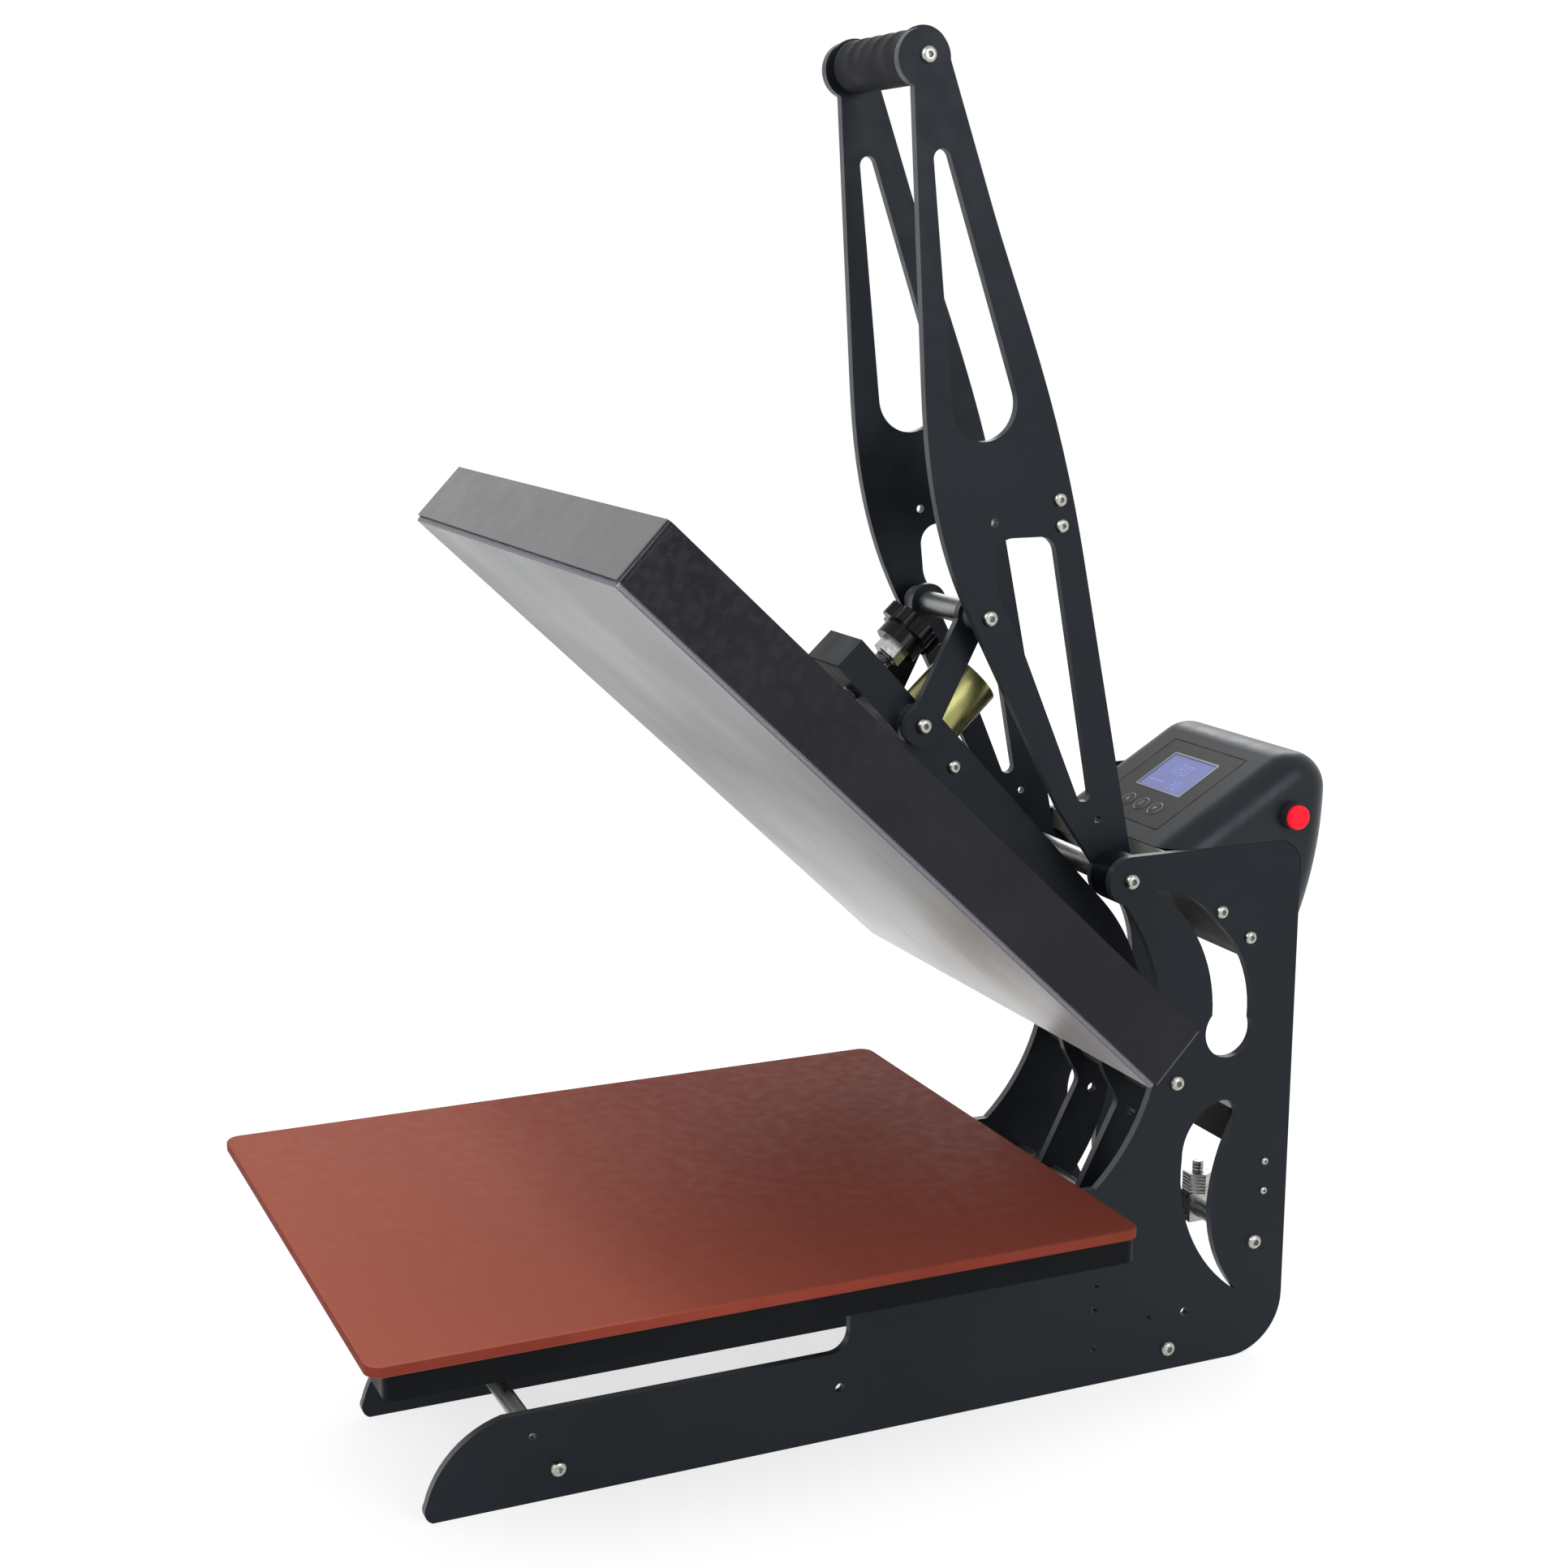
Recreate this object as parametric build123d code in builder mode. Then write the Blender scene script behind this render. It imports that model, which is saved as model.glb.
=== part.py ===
from build123d import *
import os
from math import acos, asin, atan2, cos, degrees, hypot, radians, sin, sqrt, tan

# Flat heat press of the clamshell kind, 400 x 500 mm bed, standing open with its heat platen raised.
# X runs across the press, Y from front to back and Z up. Sizes are millimetres.
# Side views are drawn as (y, z), with y measured back from the front edge of the pad.
# The origin is on the floor, under the middle of the press's length.

os.makedirs("parts", exist_ok=True)

# Overall
REAR_EDGE = 696.0
BOX_OVERHANG = 26.0
BOX_REAR = REAR_EDGE + BOX_OVERHANG
DATUM = -BOX_REAR / 2

# Bed
BED_WIDTH = 400.0
BED_LENGTH = 500.0
BED_BOTTOM = 145.0
BED_PAN_HEIGHT = 15.6
PAN_SHEET = 2.5
PAN_FRONT = 10.0
PAN_INSET = 2.0
PAN_CORNER = 8.0
PAD_THICKNESS = 7.6
PAD_CORNER = 10.0
PAD_TOP = BED_BOTTOM + BED_PAN_HEIGHT + PAD_THICKNESS

# Side plates
PLATE_INNER = 75.0
PLATE_THICKNESS = 6.0
PLATE_OUTER = PLATE_INNER + PLATE_THICKNESS
FOOT_FRONT = 61.5
FOOT_HEIGHT = 61.0
NOTCH_REAR = 352.0
THROAT_CENTRE = (440.9, 253.3)
THROAT_RADIUS = 145.9
EAR_RADIUS = 17.0

# Four-bar linkage, its pivots given in the side view
ARM_PIVOT = (600.8, 212.8)
HANDLE_PIVOT = (559.4, 360.4)
ARM_CRANK = 311.2
HANDLE_CRANK = 205.1
LINK_LENGTH = 80.6
ARM_TRAVEL = 47.116

# Cross positions of the moving plates
ARM_INNER = 24.0
ARM_THICKNESS = 6.0
ARM_OUTER = ARM_INNER + ARM_THICKNESS
LINK_THICKNESS = 5.7
RUNNING_GAP = 0.3
LINK_INNER = ARM_OUTER + RUNNING_GAP
LINK_OUTER = LINK_INNER + LINK_THICKNESS
HANDLE_INNER = 49.5
HANDLE_THICKNESS = 6.0
HANDLE_OUTER = HANDLE_INNER + HANDLE_THICKNESS

# Fits
SHAFT_FIT = 0.05
SCREW_FIT = 0.15

# Heat platen, drawn level over the bed and then opened with the arm
PLATEN_FRONT = 9.2
CLOSED_GAP = 0.8
PLATEN_WIDTH = 400.0
PLATEN_LENGTH = 485.0
PLATEN_THICKNESS = 15.0
PLATEN_CLEAR = 0.5
COVER_SHEET = 1.5
COVER_WIDTH = PLATEN_WIDTH + 2 * (COVER_SHEET + PLATEN_CLEAR)
COVER_LENGTH = PLATEN_LENGTH + 2 * (COVER_SHEET + PLATEN_CLEAR)
COVER_LOW = 3.5
COVER_TOP = 47.0
COVER_CORNER = 4.0
PLATEN_BOTTOM = PAD_TOP + CLOSED_GAP
LEVEL_TRAVEL = 3.616
LEVEL_HINGE = (421.35, 62.0)
HANGER_SHEET = 4.0

# Beam, stud and magnet on the arm, drawn in the arm's closed position
BEAM_FRONT = 223.5
BEAM_REAR = 346.0
BEAM_BOTTOM = 244.0
BEAM_TOP = 268.2
STUD_Y = 254.8
STUD_RADIUS = 6.0
STUD_FOOT = 201.3
KNOB_NUT_LOW = 278.8
KNOB_NUT_HEIGHT = 9.0
KNOB_NUT_FLATS = 18.0
KNOB_HUB_HEIGHT = 11.0
KNOB_HUB_RADIUS = 15.5
KNOB_HEAD_HEIGHT = 10.5
KNOB_HEAD_RADIUS = 21.5
KNOB_LOBES = 7
CUP_RADIUS = 13.5
CUP_BORE = 10.5
CUP_FLOOR = 22.0
MAGNET_Y = 309.6
MAGNET_RADIUS = 23.0
MAGNET_TOP = 312.6
MAGNET_WALL = 2.5
MAGNET_GAP = 0.5

# Shafts and rods across the frame
SHAFT_RADIUS = 8.0
ARM_SHAFT_RADIUS = 10.0
ROD_RADIUS = 6.25
HUB_RADIUS = 15.0
TAIL_PIN = (648.5, 122.0)
TAIL_PIN_RADIUS = 5.0
TAIL_PIN_REACH = 70.0
SPRING_ANCHOR = (428.0, 106.0)
SPRING_X = 46.0
SPRING_RADIUS = 8.0
TIE_RODS = ((148.0, 20.0), (600.8, 16.0), (670.4, 84.8))

# Screws
M6_RADIUS = 3.0
M6_HEAD = 5.5
M6_HEAD_HEIGHT = 3.3
M5_RADIUS = 2.5
M5_HEAD = 4.75
M5_HEAD_HEIGHT = 2.75
M3_RADIUS = 1.5
M3_HEAD = 2.8
M3_HEAD_HEIGHT = 1.7
TRAY_SCREWS = ((632.4, 331.6), (656.6, 310.8))
SWITCH_SCREWS = ((676.7, 144.4), (676.7, 122.4))
ARM_SCREW = (332.9, 255.9)

# Grip
GRIP_CENTRE = (-148.1, 530.1)
GRIP_RADIUS = 16.7
GRIP_ROD_RADIUS = 8.0
GRIP_FLANGE_RADIUS = 18.0
GRIP_FLANGE = 2.0

# Control box
BOX_SEAT = HANDLE_PIVOT[1] + EAR_RADIUS + RUNNING_GAP
BOX_FRONT = 588.5
BOX_SLOPE = 30.5
BOX_WALL = 2.5
BOX_ROUND = 20.0
CROWN_RADIUS = 27.0
SKIRT_LOW = 304.0
SKIRT_TOE = 2.7
CORNER_ROUND = 20.0
PANEL_WIDTH = 90.0
PANEL_START = 14.0
PANEL_LENGTH = 84.0
PANEL_SHEET = 1.5
DISPLAY_WIDTH = 56.0
DISPLAY_LENGTH = 39.4
DISPLAY_START = 46.7
BUTTON_RADIUS = 5.0
BUTTON_ALONG = 31.1
BUTTON_SPACING = 17.6
BUTTON_MIDDLE = 2.0
BUTTON_TRAVEL = 0.8
BOARD_DEPTH = 12.0
BOARD_SHEET = 1.6
POWER_CENTRE = (687.0, 394.5)
POWER_RADIUS = 8.3
POWER_COLLAR = 9.6
POWER_BARREL = 7.5
POWER_TRAVEL = 2.5
INLET_CENTRE = (651.0, 392.0)
INLET_HALF = (15.0, 11.0)
INLET_LIP = 3.0
INLET_LIP_SHEET = 2.0
INLET_WALL = 3.0
INLET_DEPTH = 22.0

# Relay on its bracket, and limit switch, inside the rear of the frame
RELAY_LOW = 148.0
RELAY_SIZE = (56.0, 24.0, 27.0)
RELAY_LEFT = -6.0
BRACKET_SHEET = 2.5
BRACKET_FRONT = 692.0
BRACKET_HEIGHT = 22.0
SWITCH_BODY = (16.0, 28.0, 10.3)
SWITCH_ARM = 5.0


def side(x):
    """The side view's plane at x: local x runs back from the pad's front edge, local y runs up."""
    return Plane(origin=(x, DATUM, 0), x_dir=(0, 1, 0), z_dir=(1, 0, 0))


def level(z):
    """A level plane at height z: local x runs across, local y back from the pad's front edge."""
    return Plane(origin=(0, DATUM, z), x_dir=(1, 0, 0), z_dir=(0, 0, 1))


def turned(plane, pivot, angle):
    """The plane after a turn about the cross axis through a side-view point."""
    centre = Location((0, DATUM + pivot[0], pivot[1]))
    turn = centre * Location((0, 0, 0), (angle, 0, 0)) * centre.inverse()
    return Plane(turn * plane.location)


def swing(point, pivot, angle):
    """A side-view point after a turn about the pivot."""
    y = point[0] - pivot[0]
    z = point[1] - pivot[1]
    c = cos(radians(angle))
    s = sin(radians(angle))
    return (pivot[0] + y * c - z * s, pivot[1] + y * s + z * c)


def polar(centre, radius, angle):
    """The side-view point at a distance and an angle from a centre."""
    return (centre[0] + radius * cos(radians(angle)), centre[1] + radius * sin(radians(angle)))


def bearing(centre, point):
    """The angle from one side-view point to another."""
    return degrees(atan2(point[1] - centre[1], point[0] - centre[0]))


def corner_angle(near, other, far):
    """The angle between two sides of a triangle, from its three side lengths."""
    return degrees(acos((near * near + other * other - far * far) / (2 * near * other)))


# Linkage positions, from the closed dead centre, where handle crank and link lie in one line
PIVOT_SPAN = hypot(HANDLE_PIVOT[0] - ARM_PIVOT[0], HANDLE_PIVOT[1] - ARM_PIVOT[1])
CLOSED_ANGLE = corner_angle(ARM_CRANK, PIVOT_SPAN, HANDLE_CRANK + LINK_LENGTH)
LINK_PIN_CLOSED = polar(ARM_PIVOT, ARM_CRANK, bearing(ARM_PIVOT, HANDLE_PIVOT) + CLOSED_ANGLE)
LINK_PIN = swing(LINK_PIN_CLOSED, ARM_PIVOT, -ARM_TRAVEL)
OPEN_SPAN = hypot(LINK_PIN[0] - HANDLE_PIVOT[0], LINK_PIN[1] - HANDLE_PIVOT[1])
OPEN_ANGLE = corner_angle(HANDLE_CRANK, OPEN_SPAN, LINK_LENGTH)
CRANK_PIN = polar(HANDLE_PIVOT, HANDLE_CRANK, bearing(HANDLE_PIVOT, LINK_PIN) - OPEN_ANGLE)
HANDLE_TRAVEL = (bearing(HANDLE_PIVOT, LINK_PIN_CLOSED) - bearing(HANDLE_PIVOT, CRANK_PIN)) % 360
CRANK_PIN_CLOSED = swing(CRANK_PIN, HANDLE_PIVOT, HANDLE_TRAVEL)
LINK_TURN = bearing(LINK_PIN_CLOSED, CRANK_PIN_CLOSED) - bearing(LINK_PIN, CRANK_PIN) - ARM_TRAVEL
HINGE_CLOSED = (PLATEN_FRONT + LEVEL_HINGE[0], PLATEN_BOTTOM + LEVEL_HINGE[1])
TAIL_PIN_OPEN = swing(TAIL_PIN, ARM_PIVOT, -ARM_TRAVEL)


def arm_side(x):
    """The side view's plane carried by the raised arm."""
    return turned(side(x), ARM_PIVOT, -ARM_TRAVEL)


def arm_level(z):
    """A level plane carried by the raised arm."""
    return turned(level(z), ARM_PIVOT, -ARM_TRAVEL)


def platen_level(h):
    """A plane over the heat platen: local x across, local y from its front edge, h above its face."""
    flat = Plane(origin=(0, DATUM + PLATEN_FRONT, PLATEN_BOTTOM + h), x_dir=(1, 0, 0), z_dir=(0, 0, 1))
    return turned(turned(flat, HINGE_CLOSED, LEVEL_TRAVEL), ARM_PIVOT, -ARM_TRAVEL)


def platen_side(x):
    """The side view of the heat platen at x: local x from its front edge, local y up from its face."""
    flat = Plane(origin=(x, DATUM + PLATEN_FRONT, PLATEN_BOTTOM), x_dir=(0, 1, 0), z_dir=(1, 0, 0))
    return turned(turned(flat, HINGE_CLOSED, LEVEL_TRAVEL), ARM_PIVOT, -ARM_TRAVEL)


def handle_side(x):
    """The handle's side view at x, measured from the handle pivot."""
    return Plane(origin=(x, DATUM + HANDLE_PIVOT[0], HANDLE_PIVOT[1]), x_dir=(0, 1, 0), z_dir=(1, 0, 0))


def handle_level(z):
    """A plane that is level when the handle is down, carried by the raised handle."""
    return turned(level(z), HANDLE_PIVOT, -HANDLE_TRAVEL)


def link_side(x):
    """The link's side view at x: local x runs from the arm's link pin to the handle's crank pin."""
    turn = radians(bearing(LINK_PIN, CRANK_PIN))
    return Plane(origin=(x, DATUM + LINK_PIN[0], LINK_PIN[1]), x_dir=(0, cos(turn), sin(turn)), z_dir=(1, 0, 0))


def panel_face(depth):
    """A plane on the control box's sloping face: local x across, local y up the slope."""
    slope = radians(BOX_SLOPE)
    lift = (-sin(slope), cos(slope))
    start = (DATUM + BOX_FRONT - depth * lift[0], BOX_SEAT - depth * lift[1])
    return Plane(origin=(0, *start), x_dir=(1, 0, 0), z_dir=(0, *lift))


def rod(plane, radius, length, mode=Mode.ADD, at=(0, 0)):
    """A round rod standing on the plane."""
    with BuildSketch(plane) as disc:
        with Locations(at):
            Circle(radius)
    extrude(disc.sketch, amount=length, mode=mode)


def slab(plane, low, high, height, mode=Mode.ADD):
    """A block standing on the plane, between two corners."""
    with BuildSketch(plane) as outline:
        with Locations(((low[0] + high[0]) / 2, (low[1] + high[1]) / 2)):
            Rectangle(high[0] - low[0], high[1] - low[1])
    extrude(outline.sketch, amount=height, mode=mode)


def button_screw(plane, sign, at, radius, head, head_height, length):
    """A button-head socket screw whose head sits on the plane, on its outer side."""
    seat = Plane(origin=plane.from_local_coords(at), x_dir=plane.x_dir, z_dir=-plane.y_dir)
    rim = (head, sign * head_height * 0.2)
    top = (head * 0.55, sign * head_height)
    with BuildSketch(seat) as crown:
        with BuildLine():
            Polyline((0, 0), (head, 0), rim)
            ThreePointArc(rim, (head * 0.86, sign * head_height * 0.72), top)
            Polyline(top, (0, sign * head_height), (0, 0))
        make_face()
    revolve(crown.sketch, axis=Axis(seat.origin, plane.z_dir))
    rod(plane, radius, -sign * length, at=at)
    with BuildSketch(plane) as socket:
        with Locations(at):
            RegularPolygon(head * 0.42, 6)
    extrude(socket.sketch, amount=sign * head_height * 2, mode=Mode.SUBTRACT)


def relative(point, centre):
    """A side-view point measured from a centre."""
    return (point[0] - centre[0], point[1] - centre[1])


def save(part, label):
    """Label the finished piece and write its STEP file."""
    part.label = label
    export_step(part, f"parts/{label}.step")


# Side plates
EAR_TOP = HANDLE_PIVOT[1] + EAR_RADIUS
ear_span = hypot(HANDLE_PIVOT[0] - THROAT_CENTRE[0], HANDLE_PIVOT[1] - THROAT_CENTRE[1])
ear_meets = polar(
    THROAT_CENTRE,
    THROAT_RADIUS,
    bearing(THROAT_CENTRE, HANDLE_PIVOT) - corner_angle(THROAT_RADIUS, ear_span, EAR_RADIUS),
)
THROAT_END = (
    THROAT_CENTRE[0] + sqrt(THROAT_RADIUS**2 - (THROAT_CENTRE[1] - BED_BOTTOM) ** 2),
    BED_BOTTOM,
)
PLATE_HOLES = (
    ((614.0, 41.2), 3.25),
    ((584.6, 41.8), 2.0),
    ((540.0, 55.8), 2.5),
    ((540.0, 27.0), 2.5),
    ((541.0, 72.8), 2.5),
    ((131.6, 44.9), 2.5),
    ((344.9, 36.0), 3.25),
)
for sign, label in ((1, "side_plate_right"), (-1, "side_plate_left")):
    with BuildPart() as side_plate:
        with BuildSketch(side(sign * PLATE_INNER)):
            with BuildLine():
                FilletPolyline(
                    (FOOT_FRONT + 4.5, 0),
                    (REAR_EDGE, 0),
                    (REAR_EDGE, EAR_TOP),
                    (HANDLE_PIVOT[0], EAR_TOP),
                    radius=[42, 20],
                )
                ThreePointArc(
                    (HANDLE_PIVOT[0], EAR_TOP),
                    (HANDLE_PIVOT[0] - EAR_RADIUS, HANDLE_PIVOT[1]),
                    ear_meets,
                )
                ThreePointArc(ear_meets, (THROAT_CENTRE[0] + THROAT_RADIUS, THROAT_CENTRE[1]), THROAT_END)
                FilletPolyline(
                    THROAT_END,
                    (NOTCH_REAR, BED_BOTTOM),
                    (NOTCH_REAR, FOOT_HEIGHT),
                    (FOOT_FRONT + 51.5, FOOT_HEIGHT),
                    radius=[3, 14],
                )
                ThreePointArc(
                    (FOOT_FRONT + 51.5, FOOT_HEIGHT),
                    (FOOT_FRONT + 19.5, 44),
                    (FOOT_FRONT + 0.5, 12),
                )
                ThreePointArc((FOOT_FRONT + 0.5, 12), (FOOT_FRONT, 4.5), (FOOT_FRONT + 4.5, 0))
            make_face()
            with BuildLine():
                ThreePointArc((577, 353.5), (612, 318), (628, 258))
                ThreePointArc((628, 258), (641, 226), (660.3, 252))
                ThreePointArc((660.3, 252), (653, 293), (632, 322))
                ThreePointArc((632, 322), (606, 344.5), (577, 353.5))
            make_face(mode=Mode.SUBTRACT)
            with BuildLine():
                ThreePointArc((656.5, 50.5), (614, 105), (607.3, 156))
                ThreePointArc((607.3, 156), (617, 183), (638, 195))
                ThreePointArc((638, 195), (648, 191.5), (651.5, 181))
                ThreePointArc((651.5, 181), (638, 148), (633, 118))
                ThreePointArc((633, 118), (638.5, 82), (656.5, 50.5))
            make_face(mode=Mode.SUBTRACT)
            for centre, radius in PLATE_HOLES:
                with Locations(centre):
                    Circle(radius, mode=Mode.SUBTRACT)
            with Locations(ARM_PIVOT, HANDLE_PIVOT, *TIE_RODS):
                Circle(M6_RADIUS + SCREW_FIT, mode=Mode.SUBTRACT)
            with Locations(*TRAY_SCREWS):
                Circle(M5_RADIUS + SCREW_FIT, mode=Mode.SUBTRACT)
            with Locations(*SWITCH_SCREWS):
                Circle(M3_RADIUS + SCREW_FIT, mode=Mode.SUBTRACT)
        extrude(amount=sign * PLATE_THICKNESS)
    save(side_plate.part, label)

# Tie rods, tapped at both ends, with the plain rod that anchors the springs
TAP_DEPTH = 16.0
with BuildPart() as tie_rods:
    for centre in TIE_RODS:
        rod(side(-PLATE_INNER), ROD_RADIUS, 2 * PLATE_INNER, at=centre)
        rod(side(-PLATE_INNER), M6_RADIUS + SCREW_FIT, TAP_DEPTH, mode=Mode.SUBTRACT, at=centre)
        rod(side(PLATE_INNER), M6_RADIUS + SCREW_FIT, -TAP_DEPTH, mode=Mode.SUBTRACT, at=centre)
    rod(side(-PLATE_INNER), TAIL_PIN_RADIUS, 2 * PLATE_INNER, at=SPRING_ANCHOR)
save(tie_rods.part, "tie_rods")

# Button-head screws in the side plates
M6_LENGTH = PLATE_THICKNESS + TAP_DEPTH - 2
TRAY_TAB = 2.0
with BuildPart() as frame_screws:
    for sign in (1, -1):
        for centre in (ARM_PIVOT, HANDLE_PIVOT, *TIE_RODS):
            button_screw(side(sign * PLATE_OUTER), sign, centre, M6_RADIUS, M6_HEAD, M6_HEAD_HEIGHT, M6_LENGTH)
        for centre in TRAY_SCREWS:
            button_screw(
                side(sign * PLATE_OUTER), sign, centre, M5_RADIUS, M5_HEAD, M5_HEAD_HEIGHT,
                PLATE_THICKNESS + TRAY_TAB + 3,
            )
save(frame_screws.part, "frame_screws")

# Lower platen: a folded pan, open underneath
with BuildPart() as lower_platen:
    for sheet, mode in ((0, Mode.ADD), (PAN_SHEET, Mode.SUBTRACT)):
        with BuildSketch(level(BED_BOTTOM)) as pan:
            with Locations((0, (PAN_FRONT + BED_LENGTH - PAN_INSET) / 2)):
                RectangleRounded(
                    BED_WIDTH - 2 * PAN_INSET - 2 * sheet,
                    BED_LENGTH - PAN_FRONT - PAN_INSET - 2 * sheet,
                    PAN_CORNER - sheet,
                )
        extrude(pan.sketch, amount=BED_PAN_HEIGHT - sheet, mode=mode)
save(lower_platen.part, "lower_platen")

# Silicone pad on the bed
with BuildPart() as silicone_pad:
    slab(level(BED_BOTTOM + BED_PAN_HEIGHT), (-BED_WIDTH / 2, 0), (BED_WIDTH / 2, BED_LENGTH), PAD_THICKNESS)
    fillet(silicone_pad.edges().filter_by(Axis.Z), PAD_CORNER)
save(silicone_pad.part, "silicone_pad")

# Bed rails: a flat under the pan on each side plate, with a leg welded to the plate's inner face
RAIL_INNER = 45.0
RAIL_OUTER = 95.0
RAIL_LEG = 4.0
RAIL_LEG_LOW = 122.0
RAIL_MARGIN = 20.0
with BuildPart() as bed_rails:
    for sign in (1, -1):
        low = min(sign * RAIL_INNER, sign * RAIL_OUTER)
        high = max(sign * RAIL_INNER, sign * RAIL_OUTER)
        slab(level(BED_BOTTOM), (low, RAIL_MARGIN), (high, BED_LENGTH - RAIL_MARGIN), BED_PAN_HEIGHT - PAN_SHEET)
        leg_low = min(sign * PLATE_INNER, sign * (PLATE_INNER - RAIL_LEG))
        slab(
            level(RAIL_LEG_LOW),
            (leg_low, NOTCH_REAR + 6),
            (leg_low + RAIL_LEG, BED_LENGTH - RAIL_MARGIN),
            BED_BOTTOM - RAIL_LEG_LOW,
        )
save(bed_rails.part, "bed_rails")

# Shafts that the handle and the arm turn on
for centre, radius, label in (
    (HANDLE_PIVOT, SHAFT_RADIUS, "handle_shaft"),
    (ARM_PIVOT, ARM_SHAFT_RADIUS, "arm_shaft"),
):
    with BuildPart() as shaft:
        rod(side(-PLATE_INNER), radius, 2 * PLATE_INNER, at=centre)
        rod(side(-PLATE_INNER), M6_RADIUS + SCREW_FIT, TAP_DEPTH, mode=Mode.SUBTRACT, at=centre)
        rod(side(PLATE_INNER), M6_RADIUS + SCREW_FIT, -TAP_DEPTH, mode=Mode.SUBTRACT, at=centre)
    save(shaft.part, label)

# Spacer tubes that keep the arm in the middle of its shaft
with BuildPart() as arm_spacers:
    for sign in (1, -1):
        length = PLATE_INNER - ARM_OUTER - RUNNING_GAP
        rod(side(sign * PLATE_INNER), ARM_SHAFT_RADIUS + 4, -sign * length, at=ARM_PIVOT)
        rod(side(sign * PLATE_INNER), ARM_SHAFT_RADIUS + SHAFT_FIT, -sign * length, mode=Mode.SUBTRACT, at=ARM_PIVOT)
save(arm_spacers.part, "arm_spacers")

# Control tray: a lip in front, a sloping floor and a side tab on each plate
TRAY_SHEET = 2.0
TRAY_FRONT = 588.0
TRAY_HALF = PLATE_INNER - RUNNING_GAP
TRAY_SLOPE = degrees(atan2(TRAY_SCREWS[0][1] - TRAY_SCREWS[1][1], TRAY_SCREWS[1][0] - TRAY_SCREWS[0][0]))
TRAY_DROP = 5.5
TRAY_BEND_Z = (
    TRAY_SCREWS[0][1]
    + (TRAY_SCREWS[0][0] - TRAY_FRONT) * tan(radians(TRAY_SLOPE))
    - TRAY_DROP / cos(radians(TRAY_SLOPE))
)
TRAY_REAR = 680.0
TAB_FRONT = TRAY_SCREWS[0][0] - 22
TAB_REAR = TRAY_SCREWS[1][0] + 12
TAB_HEIGHT = 16.0


def tray_floor(depth):
    """The height of the tray's underside at a depth."""
    return TRAY_BEND_Z - (depth - TRAY_FRONT) * tan(radians(TRAY_SLOPE))


TRAY_REAR_Z = tray_floor(TRAY_REAR)
with BuildPart() as control_tray:
    with BuildSketch(side(-TRAY_HALF)):
        with BuildLine():
            Polyline(
                (TRAY_FRONT, EAR_TOP - 0.5),
                (TRAY_FRONT, TRAY_BEND_Z),
                (TRAY_REAR, TRAY_REAR_Z),
                (TRAY_REAR, TRAY_REAR_Z + 14),
                (TRAY_REAR - TRAY_SHEET, TRAY_REAR_Z + 14),
                (TRAY_REAR - TRAY_SHEET, TRAY_REAR_Z + TRAY_SHEET / cos(radians(TRAY_SLOPE)) + 1.5),
                (TRAY_FRONT + TRAY_SHEET, TRAY_BEND_Z + TRAY_SHEET / cos(radians(TRAY_SLOPE)) - 1.5),
                (TRAY_FRONT + TRAY_SHEET, EAR_TOP - 0.5),
                close=True,
            )
        make_face()
    extrude(amount=2 * TRAY_HALF)
    for sign in (1, -1):
        with BuildSketch(side(sign * TRAY_HALF)) as tab:
            with BuildLine():
                Polyline(
                    (TAB_FRONT, tray_floor(TAB_FRONT)),
                    (TAB_FRONT, tray_floor(TAB_FRONT) + TAB_HEIGHT),
                    (TAB_REAR, tray_floor(TAB_REAR) + TAB_HEIGHT),
                    (TAB_REAR, tray_floor(TAB_REAR)),
                    close=True,
                )
            make_face()
            with Locations(*TRAY_SCREWS):
                Circle(M5_RADIUS + SCREW_FIT, mode=Mode.SUBTRACT)
        extrude(tab.sketch, amount=-sign * TRAY_TAB)
save(control_tray.part, "control_tray")

# Control box: a moulded shell on the rear top of the side plates
SLOPE_TURN = radians(BOX_SLOPE)
SLOPE_RUN = BOX_REAR - BOX_FRONT - CROWN_RADIUS * (1 + sin(SLOPE_TURN))
CROWN_CENTRE = (
    BOX_REAR - CROWN_RADIUS,
    BOX_SEAT + SLOPE_RUN * tan(SLOPE_TURN) - CROWN_RADIUS * cos(SLOPE_TURN),
)
SKIRT_INNER = REAR_EDGE + RUNNING_GAP
BACK_DEPTH = BOX_REAR - SKIRT_INNER - SKIRT_TOE
BACK_HEIGHT = CROWN_CENTRE[1] - SKIRT_LOW
BACK_RADIUS = (BACK_HEIGHT**2 + BACK_DEPTH**2) / (2 * BACK_DEPTH)
BACK_CENTRE = (BOX_REAR - BACK_RADIUS, CROWN_CENTRE[1])
CROWN_ANGLE = 90 + BOX_SLOPE


def box_line(sheet, low):
    """The box's side outline, a sheet's thickness in, from the slope's foot to the height low."""
    back_angle = degrees(asin((low - BACK_CENTRE[1]) / (BACK_RADIUS - sheet)))
    foot = (BOX_FRONT + sheet / sin(SLOPE_TURN), BOX_SEAT)
    crown_start = polar(CROWN_CENTRE, CROWN_RADIUS - sheet, CROWN_ANGLE)
    crown_end = polar(CROWN_CENTRE, CROWN_RADIUS - sheet, 0)
    back_end = polar(BACK_CENTRE, BACK_RADIUS - sheet, back_angle)
    Line(foot, crown_start)
    ThreePointArc(crown_start, polar(CROWN_CENTRE, CROWN_RADIUS - sheet, CROWN_ANGLE / 2), crown_end)
    ThreePointArc(crown_end, polar(BACK_CENTRE, BACK_RADIUS - sheet, back_angle / 2), back_end)
    return foot, back_end


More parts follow.
